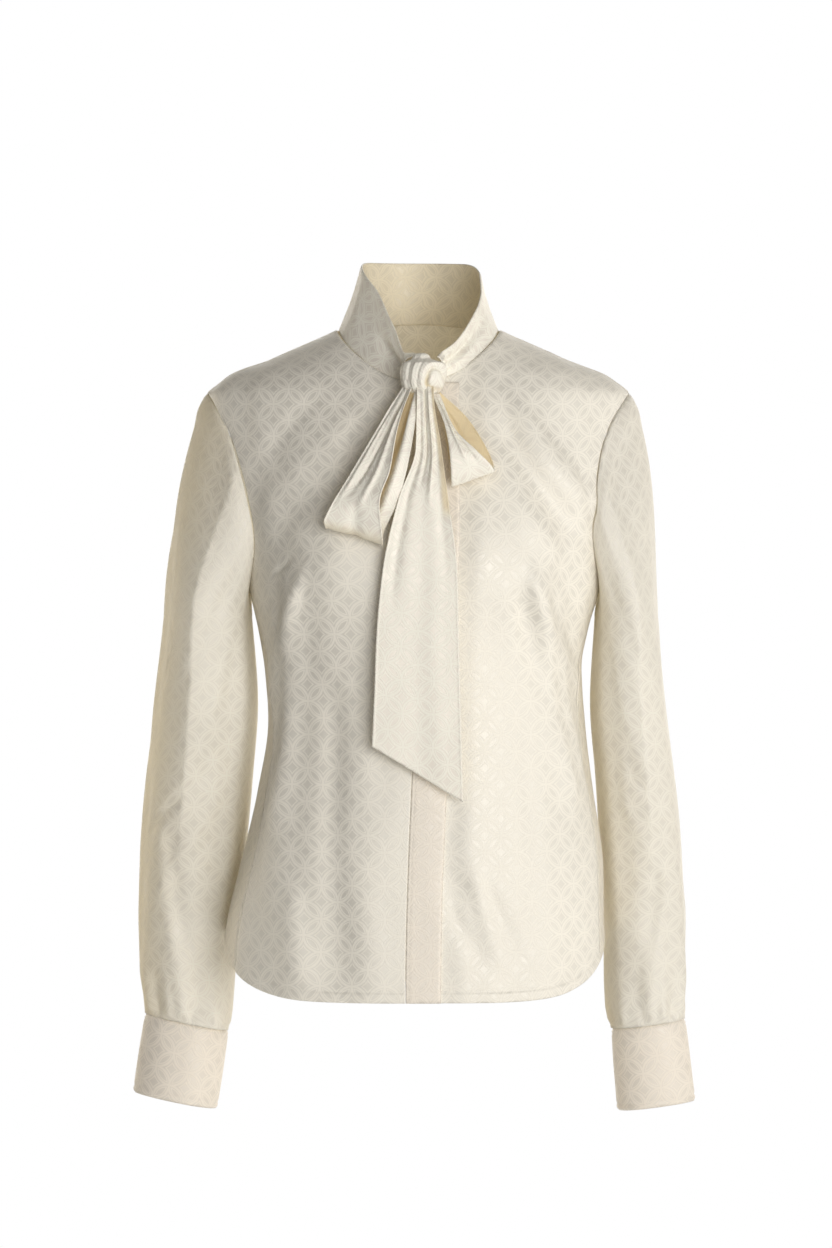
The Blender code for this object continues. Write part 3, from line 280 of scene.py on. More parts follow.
# Ribbons of the bow: left edge x, y, z and right edge x, y, z, from the knot outwards
BIG_LOOP = {
    "front at knot": (-0.013, -0.1085, -0.044, -0.005, -0.115, -0.043),
    "front upper": (-0.0374, -0.119, -0.085, -0.0185, -0.129, -0.085),
    "front middle": (-0.0606, -0.13, -0.124, -0.025, -0.14, -0.12),
    "front lower": (-0.0795, -0.137, -0.156, -0.0345, -0.144, -0.152),
    "fold front": (-0.0835, -0.136, -0.166, -0.0318, -0.143, -0.18),
    "fold": (-0.0815, -0.13, -0.171, -0.0315, -0.135, -0.1868),
    "fold back": (-0.079, -0.124, -0.166, -0.0318, -0.128, -0.18),
    "back lower": (-0.074, -0.1215, -0.15, -0.019, -0.133, -0.15),
    "back middle": (-0.056, -0.116, -0.12, -0.0106, -0.1335, -0.12),
    "back upper": (-0.033, -0.107, -0.085, -0.004, -0.127, -0.085),
    "back at knot": (-0.008, -0.106, -0.044, 0.001, -0.113, -0.044),
}
SMALL_LOOP = {
    "back at knot": (0.0134, -0.1035, -0.0514, 0.0194, -0.1005, -0.0494),
    "back upper": (0.023, -0.106, -0.078, 0.044, -0.103, -0.072),
    "back lower": (0.027, -0.113, -0.105, 0.06, -0.11, -0.097),
    "fold back": (0.03, -0.119, -0.129, 0.0675, -0.116, -0.114),
    "fold": (0.03, -0.125, -0.135, 0.069, -0.122, -0.121),
    "fold front": (0.0295, -0.131, -0.127, 0.065, -0.127, -0.115),
    "front lower": (0.0285, -0.133, -0.108, 0.052, -0.131, -0.102),
    "front upper": (0.024, -0.126, -0.079, 0.033, -0.125, -0.082),
    "front at knot": (0.0129, -0.1109, -0.051, 0.0194, -0.1089, -0.05),
}
FRONT_TAIL = {
    "knot": (-0.0014, -0.115, -0.041, 0.0136, -0.115, -0.041),
    "below knot": (-0.001, -0.1215, -0.054, 0.014, -0.1215, -0.054),
    "throat": (-0.002, -0.126, -0.099, 0.0205, -0.1265, -0.099),
    "upper": (-0.0175, -0.135, -0.146, 0.0266, -0.135, -0.146),
    "middle": (-0.0315, -0.138, -0.21, 0.0346, -0.138, -0.21),
    "lower": (-0.037, -0.135, -0.27, 0.0363, -0.135, -0.28),
    "foot": (-0.0388, -0.131, -0.32, 0.0381, -0.131, -0.35),
    "end": (-0.0409, -0.127, -0.3659, 0.0399, -0.126, -0.4156),
}
BACK_TAIL = {
    "knot": (-0.003, -0.1075, -0.0525, 0.011, -0.1075, -0.0525),
    "throat": (0.0005, -0.116, -0.099, 0.019, -0.116, -0.099),
    "upper": (-0.011, -0.124, -0.146, 0.023, -0.124, -0.146),
    "middle": (-0.026, -0.13, -0.21, 0.029, -0.13, -0.21),
    "lower": (-0.031, -0.127, -0.27, 0.031, -0.127, -0.275),
    "end": (-0.033, -0.123, -0.335, 0.032, -0.123, -0.38),
}
PLEAT_DEPTH_SHARE = 0.046
PLEAT_REACH = 0.13
PLEAT_START = 0.08
RIBBON_PLEATS = 2.0
FINE_PLEAT_SHARE = 0.009
FINE_PLEAT_REACH = 0.11

BAND_WIDTH = 0.06
# Thickness of doubled bands and of the ribbons
BAND_SHELL = 0.0010
RIBBON_SHELL = 0.0009

# Fineness of the shells
PANEL_COLUMNS = (26, 62)
PANEL_ROWS = (150, 84)
HEM_ROWS = 14
HEM_SHARE = 0.036
SLEEVE_COLUMNS = 144
SLEEVE_HEAD_ROWS = 44
SLEEVE_BODY_ROWS = 184
CUFF_ROWS = 44
COLLAR_COLUMNS = 220
COLLAR_ROWS = 44
RIBBON_COLUMNS = 56
LOOP_ROWS = 150
TAIL_ROWS = 160

# Weave: radius of the interlocking circles
CIRCLE_RADIUS = 0.0150
# Level above which the grain is carried straight up in upright planes
GRAIN_LEVEL = -0.10
# Reach of the tables that hold the grain: lowest and highest level, half width
GRAIN_LOWEST = -0.62
GRAIN_HIGHEST = 0.03
GRAIN_HALF_WIDTH = 0.19


# ---- Curves and surfaces ----

def smooth_curve(places, values, wanted):
    """Cubic through the values with slopes kept level at each peak."""
    places = np.asarray(places, float)
    values = np.asarray(values, float)
    steps = np.diff(places)
    rises = np.diff(values) / steps
    slopes = np.zeros(len(places))
    same_way = rises[:-1] * rises[1:] > 0
    inner = np.zeros(len(places) - 2)
    first_weight = 2.0 * steps[1:] + steps[:-1]
    second_weight = steps[1:] + 2.0 * steps[:-1]
    inner[same_way] = ((first_weight + second_weight)[same_way]
                       / (first_weight[same_way] / rises[:-1][same_way]
                          + second_weight[same_way] / rises[1:][same_way]))
    slopes[1:-1] = inner
    slopes[0] = rises[0]
    slopes[-1] = rises[-1]
    wanted = np.clip(wanted, places[0], places[-1])
    index = np.clip(np.searchsorted(places, wanted) - 1, 0, len(steps) - 1)
    step = steps[index]
    t = (wanted - places[index]) / step
    start = (1.0 + 2.0 * t) * (1.0 - t) ** 2 * values[index]
    end = t ** 2 * (3.0 - 2.0 * t) * values[index + 1]
    leave = t * (1.0 - t) ** 2 * step * slopes[index]
    arrive = t ** 2 * (t - 1.0) * step * slopes[index + 1]
    return start + end + leave + arrive


def read_columns(table, place_column, wanted):
    """Each column of a table, read smoothly at the wanted places."""
    rows = np.array(sorted(table.values(), key=lambda row: row[place_column]), float)
    places = rows[:, place_column]
    return [smooth_curve(places, rows[:, column], wanted) for column in range(rows.shape[1])]


def smooth_step(t):
    """A soft rise from 0 to 1."""
    t = np.clip(t, 0.0, 1.0)
    return t * t * (3.0 - 2.0 * t)


def bell(t):
    """A bell that is 1 at 0 and dies out by about 2."""
    return np.exp(-t ** 2)


def turn_between(angle, middle):
    """Signed turn from one angle to another, the short way round."""
    return np.angle(np.exp(1j * (angle - middle)))


def body_section(azimuth, height):
    """Half width, depth and squareness of the section on the side that faces the azimuth."""
    _, right, left, front, back, squareness = read_columns(BODY_LEVELS, 0, height)
    half_width = np.where(np.sin(azimuth) < 0.0, right, left)
    depth = np.where(np.cos(azimuth) > 0.0, front, back)
    return half_width, depth, squareness


def section_radius(azimuth, height):
    """Radius of the plain level superellipse."""
    half_width, depth, squareness = body_section(azimuth, height)
    across = (np.abs(np.sin(azimuth)) / half_width) ** squareness
    ahead = (np.abs(np.cos(azimuth)) / depth) ** squareness
    return (across + ahead) ** (-1.0 / squareness)


def fold_height(azimuth, height, radius):
    """Sum of the large folds: each a bell across its line that fades past its ends."""
    total = np.zeros(np.shape(azimuth))
    for first, top, last, bottom, half_width, depth in BODY_FOLDS.values():
        across = turn_between(azimuth, np.radians(first)) * radius
        down = top - height
        line = np.array([np.radians(last - first) * FOLD_LINE_RADIUS, top - bottom])
        length = np.hypot(line[0], line[1])
        line = line / length
        along = across * line[0] + down * line[1]
        aside = across * line[1] - down * line[0]
        past = np.clip(np.abs(along - length / 2.0) - length / 2.0, 0.0, None)
        total += depth * np.exp(-(aside / half_width) ** 2 - (past / (1.5 * half_width)) ** 2)
    return total


def body_point(azimuth, height, inset=0.0):
    """Point of the body surface: a level superellipse, the bust fullness and the folds."""
    azimuth, height = np.broadcast_arrays(np.asarray(azimuth, float), np.asarray(height, float))
    radius = section_radius(azimuth, height)
    turn = np.abs(turn_between(azimuth, 0.0))
    bust = np.exp(-((turn - np.radians(BUST_AZIMUTH)) / np.radians(BUST_AZIMUTH_SPREAD)) ** 2
                  - ((height - BUST_HEIGHT) / BUST_HEIGHT_SPREAD) ** 2)
    radius = radius + BUST_FULLNESS * bust + fold_height(azimuth, height, radius) - inset
    return np.stack([radius * np.sin(azimuth), -radius * np.cos(azimuth), height], axis=-1)


def body_normal(azimuth, height):
    """Unit normal of the body surface, pointing out."""
    step = 0.001
    around = body_point(azimuth + step, height) - body_point(azimuth - step, height)
    up = body_point(azimuth, height + step) - body_point(azimuth, height - step)
    normal = np.cross(around, up)
    return normal / np.linalg.norm(normal, axis=-1, keepdims=True)


def crease_height(creases, across, height):
    """Sum of listed creases seen straight on: a bell across a bowed line, tapering."""
    total = np.zeros(np.shape(across))
    for x0, z0, x1, z1, bow, half_width, depth in creases.values():
        length = np.hypot(x1 - x0, z1 - z0)
        way = ((x1 - x0) / length, (z1 - z0) / length)
        along = ((across - x0) * way[0] + (height - z0) * way[1]) / length
        aside = (across - x0) * way[1] - (height - z0) * way[0]
        aside = aside - bow * 4.0 * along * (1.0 - along)
        body = smooth_step((along + 0.12) / 0.35) * smooth_step((1.15 - along) / 0.40)
        width = half_width * (0.65 + 0.6 * np.clip(along, 0.0, 1.0))
        total += depth * body * bell(aside / width)
    return total


def drape(u, v, seed, depth, length):
    """Slow uneven waves of hanging cloth, longer along the grain than across it."""
    u, v = np.broadcast_arrays(u, v)
    rng = np.random.default_rng(seed)
    total = np.zeros(u.shape)
    bent = u + 0.010 * np.sin(v * 2.0 * np.pi / 0.21 + seed)
    for _ in range(12):
        wave = length * rng.uniform(0.55, 1.9)
        lean = rng.normal(0.0, 0.35)
        phase = rng.uniform(0.0, 2.0 * np.pi)
        along = rng.uniform(0.15, 0.45)
        way = bent * np.cos(lean) + v * along * np.sin(lean + 0.4)
        total += (wave / length) * np.sin(2.0 * np.pi * way / wave + phase)
    return total * depth / 4.0


def body_cloth(azimuth, height, inset=0.0):
    """Fine body surface: the main form, listed creases and slow waves, along its normal."""
    point = body_point(azimuth, height, inset)
    normal = body_normal(azimuth, height)
    front = smooth_step((-normal[..., 1] + 0.05) / 0.45)
    back = smooth_step((normal[..., 1] + 0.05) / 0.45)
    rise = front * crease_height(FRONT_CREASES, point[..., 0], point[..., 2])
    rise = rise + back * crease_height(BACK_CREASES, point[..., 0], point[..., 2])
    around = section_radius(azimuth, height) * turn_between(azimuth, 0.0)
    calm = smooth_step((NECK_SIDE + 0.02 - height) / 0.10)
    rise = rise + calm * drape(around, height, 3, 0.0006, 0.060)
    return point + rise[..., None] * normal


def azimuth_at_depth(side, depth, height):
    """Azimuth where the section at a height passes the given depth, -Y being in front."""
    facing = np.where(np.asarray(depth) < 0.0, 0.0, np.pi)
    half_width, reach, squareness = body_section(facing + side * 0.01 * np.cos(facing), height)
    across = half_width * (1.0 - (np.abs(depth) / reach) ** squareness) ** (1.0 / squareness)
    return np.arctan2(side * across, -np.asarray(depth))


def azimuth_at_width(across, height):
    """Azimuth where the front of the section passes the given distance across."""
    half_width, reach, squareness = body_section(np.where(across < 0.0, -0.01, 0.01), height)
    ahead = reach * (1.0 - (np.abs(across) / half_width) ** squareness) ** (1.0 / squareness)
    return np.arctan2(across, ahead)


def hem_height(azimuth):
    """Height of the hem, which rises to the side seams."""
    turn = np.degrees(np.abs(turn_between(azimuth, 0.0)))
    return HEM_HEIGHT + HEM_RISE * bell((turn - HEM_RISE_AZIMUTH) / HEM_RISE_SPREAD)


def neck_height(azimuth):
    """Height of the neck seam, low in front and highest at the back."""
    facing = np.cos(azimuth)
    front = NECK_SIDE - (NECK_SIDE - NECK_FRONT) * np.clip(facing, 0.0, 1.0) ** NECK_CURVE
    back = (NECK_BACK - NECK_SIDE) * np.clip(-facing, 0.0, 1.0) ** NECK_CURVE
    return front + back


def side_seam_azimuth(side, height):
    """Azimuth of a side seam, measured from the centre front."""
    fall = (SIDE_SEAM_TURN_TOP - height) / (SIDE_SEAM_TURN_TOP - SIDE_SEAM_TURN_BOTTOM)
    return np.radians(90.0 - (90.0 - SIDE_SEAM_AZIMUTHS[side]) * smooth_step(fall))


def placket_edge(height):
    """Distance across of the lapped edge, which leans to the wearer's left as it rises."""
    rise = (height - HEM_HEIGHT) / PLACKET_LEAN_HEIGHT
    return PLACKET_EDGE_AT_HEM + PLACKET_LEAN * smooth_step(rise)


def armhole_angles(count):
    """Angles round the armhole from its top: down the front, then up the back."""
    middle = (ARMHOLE_TOP + ARMHOLE_BOTTOM) / 2.0
    seam_angle = SHOULDER_SEAM_FORWARD / (ARMHOLE_HALF_WIDTH * (1.0 - ARMHOLE_EGG))
    front = np.linspace(np.arcsin(seam_angle), np.pi, count + 1)
    back = np.linspace(np.pi, 2.0 * np.pi + np.arcsin(seam_angle), count + 1)
    return middle, front, back


def armhole_line(side, angles, spare):
    """Azimuth and height of the armhole seam; spare widens the hole."""
    middle, _, _ = armhole_angles(2)
    half_height = (ARMHOLE_TOP - ARMHOLE_BOTTOM) / 2.0 + spare
    half_width = ARMHOLE_HALF_WIDTH + spare
    depth = -half_width * np.sin(angles) * (1.0 - ARMHOLE_EGG * np.cos(angles))
    height = middle + half_height * np.cos(angles)
    return azimuth_at_depth(side, depth, height), height


def shoulder_line(side, share, depth_shift):
    """Azimuth and height along the shoulder seam, share 0 at the neck and 1 at the armhole."""
    middle, front_angles, _ = armhole_angles(2)
    tip = middle + (ARMHOLE_TOP - middle + SEAM_GAP) * np.cos(front_angles[0])
    neck = neck_height(azimuth_at_depth(side, -SHOULDER_SEAM_FORWARD, NECK_SIDE)) - SEAM_GAP
    height = neck + (tip - neck) * share
    return azimuth_at_depth(side, -SHOULDER_SEAM_FORWARD + depth_shift, height), height


def coons_patch(bottom, top, first, last):
    """Grid that fills four edge lines, each a row of azimuth and height pairs."""
    v = np.linspace(0.0, 1.0, len(first))[:, None, None]
    u = np.linspace(0.0, 1.0, len(bottom))[None, :, None]
    ruled_up = (1.0 - v) * bottom[None] + v * top[None]
    ruled_across = (1.0 - u) * first[:, None] + u * last[:, None]
    corners = ((1.0 - u) * (1.0 - v) * bottom[0] + u * (1.0 - v) * bottom[-1]
               + (1.0 - u) * v * top[0] + u * v * top[-1])
    return ruled_up + ruled_across - corners


def pairs(azimuth, height):
    """Azimuth and height as one array of pairs."""
    azimuth, height = np.broadcast_arrays(azimuth, height)
    return np.stack([azimuth, height], axis=-1)


def rises_from_hem():
    """Shares of the way up from the hem, close together along the turned hem."""
    rest = np.linspace(HEM_SHARE, 1.0, PANEL_ROWS[0] - HEM_ROWS + 1)
    return np.concatenate([np.linspace(0.0, HEM_SHARE, HEM_ROWS + 1)[:-1], rest])


def lower_rows(first_azimuths, last_azimuths, columns):
    """Azimuth and height of the rows from the hem up to the armpit."""
    rise = rises_from_hem()[:, None]
    share = np.linspace(0.0, 1.0, columns + 1)[None, :]
    azimuth = first_azimuths[:, None] * (1.0 - share) + last_azimuths[:, None] * share
    return pairs(azimuth, hem_height(azimuth) * (1.0 - rise) + (ARMHOLE_BOTTOM - SEAM_GAP) * rise)


def side_azimuths(side, gap_sign):
    """Azimuth of the side seam on each lower row, with the seam gap to one side."""
    rise = rises_from_hem()
    start = hem_height(np.radians(SIDE_SEAM_AZIMUTHS[side]))
    heights = start * (1.0 - rise) + (ARMHOLE_BOTTOM - SEAM_GAP) * rise
    return side * (side_seam_azimuth(side, heights) + gap_sign * SEAM_GAP / 2.0 / SIDE_RADIUS)


def front_edge_azimuths(edge, heights):
    """Azimuths of a line that keeps a distance from the lapped edge."""
    return azimuth_at_width(placket_edge(heights) + edge, heights)


def front_panel_lines(side, edge):
    """Azimuth and height of every grid point of one front."""
    neck_columns, shoulder_columns = PANEL_COLUMNS
    top = ARMHOLE_BOTTOM - SEAM_GAP
    rise = rises_from_hem()
    edge_heights = HEM_HEIGHT * (1.0 - rise) + top * rise
    lower = lower_rows(front_edge_azimuths(edge, edge_heights), side_azimuths(side, -1.0),
                       neck_columns + shoulder_columns)
    _, front_angles, _ = armhole_angles(PANEL_ROWS[1])
    hole_azimuth, hole_height = armhole_line(side, front_angles[::-1], SEAM_GAP)
    hole_azimuth[0] = lower[-1, -1, 0]
    shoulder_azimuth, shoulder_height = shoulder_line(
        side, np.linspace(0.0, 1.0, shoulder_columns + 1), -SEAM_GAP / 2.0)
    hole_azimuth[-1] = shoulder_azimuth[-1]
    hole_height[-1] = shoulder_height[-1]
    neck_start = float(front_edge_azimuths(edge, np.array(NECK_FRONT)))
    neck_azimuth = np.linspace(neck_start, shoulder_azimuth[0], neck_columns + 1)
    neck_line = neck_height(neck_azimuth) - SEAM_GAP
    neck_line[-1] = shoulder_height[0]
    top_line = np.concatenate([pairs(neck_azimuth, neck_line)[:-1],
                               pairs(shoulder_azimuth, shoulder_height)])
    inner_heights = top + (neck_line[0] - top) * np.linspace(0.0, 1.0, PANEL_ROWS[1] + 1)
    first = pairs(front_edge_azimuths(edge, inner_heights), inner_heights)
    first[0] = lower[-1, 0]
    first[-1] = top_line[0]
    upper = coons_patch(lower[-1], top_line, first, pairs(hole_azimuth, hole_height))
    return np.concatenate([lower, upper[1:]])


def back_panel_lines():
    """Azimuth and height of every grid point of the back."""
    neck_columns, shoulder_columns = PANEL_COLUMNS
    lower = lower_rows(side_azimuths(1, 1.0), 2.0 * np.pi + side_azimuths(-1, 1.0),
                       2 * (neck_columns + shoulder_columns))
    _, _, back_angles = armhole_angles(PANEL_ROWS[1])
    share = np.linspace(1.0, 0.0, shoulder_columns + 1)
    edges = []
    tops = []
    for side in (1, -1):
        hole_azimuth, hole_height = armhole_line(side, back_angles, SEAM_GAP)
        shoulder_azimuth, shoulder_height = shoulder_line(side, share, SEAM_GAP / 2.0)
        if side < 0:
            hole_azimuth = np.where(hole_azimuth < 0.0, hole_azimuth + 2.0 * np.pi, hole_azimuth)
            shoulder_azimuth = shoulder_azimuth + 2.0 * np.pi
        hole_azimuth[0] = lower[-1, 0 if side > 0 else -1, 0]
        hole_azimuth[-1] = shoulder_azimuth[0]
        hole_height[-1] = shoulder_height[0]
        edges.append(pairs(hole_azimuth, hole_height))
        tops.append(pairs(shoulder_azimuth, shoulder_height))
    neck_azimuth = np.linspace(tops[0][-1, 0], tops[1][-1, 0], 2 * neck_columns + 1)
    neck_line = pairs(neck_azimuth, neck_height(neck_azimuth) - SEAM_GAP)
    top_line = np.concatenate([tops[0], neck_line[1:-1], tops[1][::-1]])
    return np.concatenate([lower, coons_patch(lower[-1], top_line, edges[0], edges[1])[1:]])


# ---- Where each point lies on the cut cloth ----

def read_table(table, row, column):
    """Value of a table between its entries, from row and column places with fractions."""
    row = np.clip(row, 0.0, table.shape[0] - 1.001)
    column = np.clip(column, 0.0, table.shape[1] - 1.001)
    i = row.astype(int)
    j = column.astype(int)
    s = row - i
    t = column - j
    return ((1 - s) * (1 - t) * table[i, j] + (1 - s) * t * table[i, j + 1]
            + s * (1 - t) * table[i + 1, j] + s * t * table[i + 1, j + 1])


def body_places(azimuth, height, facing):
    """Cut-cloth place of body points: arc from the centre line and length up from the hem.

    Up to the chest the weft runs level round the body. Above it each warp thread goes on in
    an upright plane over the shoulder, and its length is summed along that plane.
    """
    centre = 0.0 if facing > 0 else np.pi
    turn = turn_between(azimuth, centre)
    low_count, turn_count, high_count, width_count = 60, 120, 90, 40
    low_heights = np.linspace(GRAIN_LOWEST, GRAIN_LEVEL, low_count)
    turns = np.linspace(0.0, np.pi / 2.0 + 0.45, turn_count)
    up = np.clip(height, GRAIN_LOWEST, GRAIN_LEVEL)
    low_row = (up - GRAIN_LOWEST) / (GRAIN_LEVEL - GRAIN_LOWEST) * (low_count - 1)
    x = section_radius(azimuth, height) * np.sin(azimuth)
    above = height > GRAIN_LEVEL
    places_u = np.zeros(np.shape(azimuth))
    places_v = np.zeros(np.shape(azimuth))
    for side in (-1.0, 1.0):
        toward = side * turns[None] * (1.0 if facing > 0 else -1.0) + centre
        radius = section_radius(toward, low_heights[:, None])
        line = np.stack([radius * np.sin(toward), -radius * np.cos(toward)], axis=-1)
        steps = np.linalg.norm(np.diff(line, axis=1), axis=-1)
        arcs = np.concatenate([np.zeros((low_count, 1)), np.cumsum(steps, axis=1)], axis=1)
        half_width, depth, squareness = body_section(
            np.array(centre + side * 0.01 * facing), np.array(GRAIN_LEVEL))
        share = np.clip(np.abs(x) / half_width, 0.0, 0.985)
        ahead = depth * (1.0 - share ** squareness) ** (1.0 / squareness)
        level_turn = np.arctan2(share * half_width, ahead)
        used_turn = np.where(above, level_turn, np.abs(turn))
        column = used_turn / turns[-1] * (turn_count - 1)
        across = read_table(arcs, low_row, column)
        high_heights = np.linspace(GRAIN_LEVEL, GRAIN_HIGHEST, high_count)
        xs = np.linspace(0.0, GRAIN_HALF_WIDTH, width_count)
        widths, depths, squares = body_section(
            np.full(high_count, centre + side * 0.01 * facing), high_heights)
        inside = np.clip(1.0 - (xs[:, None] / widths[None]) ** squares[None], 0.0, 1.0)
        ys = depths[None] * inside ** (1.0 / squares[None])
        moves = np.hypot(np.diff(ys, axis=1), np.diff(high_heights)[None])
        lengths = np.concatenate([np.zeros((width_count, 1)), np.cumsum(moves, axis=1)], axis=1)
        rise = (height - GRAIN_LEVEL) / (GRAIN_HIGHEST - GRAIN_LEVEL)
        climbed = read_table(lengths, np.abs(x) / GRAIN_HALF_WIDTH * (width_count - 1),
                             rise * (high_count - 1))
        climb = np.where(above, climbed, 0.0)
        here = np.sign(x) == side
        places_u = np.where(here, side * across, places_u)
        places_v = np.where(here, up - HEM_HEIGHT + climb, places_v)
    return np.stack([places_u, places_v], axis=-1)


def summed_places(grid, closed, start_column=0, start_row=0):
    """Cut-cloth place of each point: length summed along its row and down the rows."""
    across = np.diff(np.concatenate([grid, grid[:, :1]], axis=1) if closed else grid, axis=1)
    widths = np.linalg.norm(across, axis=-1)
    u = np.concatenate([np.zeros((len(grid), 1)), np.cumsum(widths, axis=1)], axis=1)
    u = u - u[:, start_column:start_column + 1]
    down = np.linalg.norm(np.diff(grid, axis=0), axis=-1)
    v = np.concatenate([np.zeros((1, grid.shape[1])), np.cumsum(down, axis=0)])
    v = v - v[start_row:start_row + 1]
    if closed:
        v = np.concatenate([v, v[:, :1]], axis=1)
    return np.stack([u, -v], axis=-1)


def run_along(points):
    """Length run through along a row of points."""
    steps = np.linalg.norm(np.diff(points, axis=0), axis=1)
    return np.concatenate([[0.0], np.cumsum(steps)])


# ---- Making a piece ----

def surface_normals(grid, closed):
    """Unit normals of a grid, from the differences along its rows and columns."""
    down = np.gradient(grid, axis=0)
    if closed:
        across = (np.roll(grid, -1, axis=1) - np.roll(grid, 1, axis=1)) / 2.0
    else:
        across = np.gradient(grid, axis=1)
    normal = np.cross(across, down)
    return normal / np.maximum(np.linalg.norm(normal, axis=-1, keepdims=True), 1e-9)


def link_piece(name, mesh, material):
    """Object for a finished mesh, smooth shaded and riding with the blouse."""
    mesh.materials.append(material)
    mesh.shade_smooth()
    piece = bpy.data.objects.new(name, mesh)
    bpy.context.scene.collection.objects.link(piece)
    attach(piece, "root")
    return piece


def cloth_shell(name, grid, places, outward, closed, material, thickness=SHELL, painted_shade_and_glow=0.0,
                inner=None, sheer=0.0):
    """Thin shell on a grid of outer points, with its cut-cloth places as a map in metres.

    outward holds the way out at one middle point and settles which side is the face. The
    golden share after the thickness paints each point's colour toward gold: painted shade in
    the bow's hollows and painted glow where light shines through the sleeves. sheer says how
    much light passes there, and inner is the finish of its other side.
    """
    rows, columns = grid.shape[:2]
    steps = columns if closed else columns - 1
    row, column = np.meshgrid(np.arange(rows - 1), np.arange(steps), indexing="ij")
    after = (column + 1) % columns
    corners = np.stack([row * columns + column, row * columns + after,
                        (row + 1) * columns + after, (row + 1) * columns + column], axis=-1)
    wide = places.shape[1]
    spots = np.stack([row * wide + column, row * wide + column + 1,
                      (row + 1) * wide + column + 1, (row + 1) * wide + column], axis=-1)
    i, j = rows // 2, columns // 2
    edge_a = grid[i, (j + 1) % columns] - grid[i, j]
    edge_b = grid[i + 1, j] - grid[i, j]
    if np.dot(np.cross(edge_a, edge_b), outward[i, j]) < 0.0:
        corners = corners[..., ::-1]
        spots = spots[..., ::-1]
    corners = corners.reshape(-1, 4)
    mesh = bpy.data.meshes.new(name)
    mesh.from_pydata(grid.reshape(-1, 3).tolist(), [], corners.tolist())
    cloth_map = mesh.uv_layers.new(name="cut_cloth")
    cloth_map.data.foreach_set("uv", places.reshape(-1, 2)[spots.reshape(-1)].ravel())
    for title, values in (("painted_shade_and_glow", painted_shade_and_glow), ("sheer", sheer)):
        layer = mesh.attributes.new(title, "FLOAT", "POINT")
        layer.data.foreach_set("value", np.broadcast_to(values, (rows, columns)).ravel())
    piece = link_piece(name, mesh, material)
    wall = piece.modifiers.new("wall", "SOLIDIFY")
    if inner is not None:
        mesh.materials.append(inner)
        wall.material_offset = 1
    wall.thickness = thickness
    wall.offset = -1.0
    wall.use_rim = True
    return piece


# ---- Finishes ----

def shader_nodes(name):
    """Empty material and a function that adds a node to it."""
    material = bpy.data.materials.new(name)
    material.use_nodes = True
    tree = material.node_tree
    tree.nodes.clear()

    def add(kind, inputs=(), **settings):
        node = tree.nodes.new(kind)
        for key, value in settings.items():
            setattr(node, key, value)
        for socket, value in dict(inputs).items():
            if isinstance(value, bpy.types.NodeSocket):
                tree.links.new(value, node.inputs[socket])
            else:
                node.inputs[socket].default_value = value
        return node

    return material, add


# Gold that the colour is mixed toward as painted shade and painted glow of light through the cloth
PAINTED_GOLD = (0.950, 0.790, 0.490)
# How far the ground mirrors like satin floats do
SATIN = 0.20
# How much darker the ground and lighter the lines are than the cloth's colour
GROUND_SHADE = 0.075
LINE_LIFT = 0.050


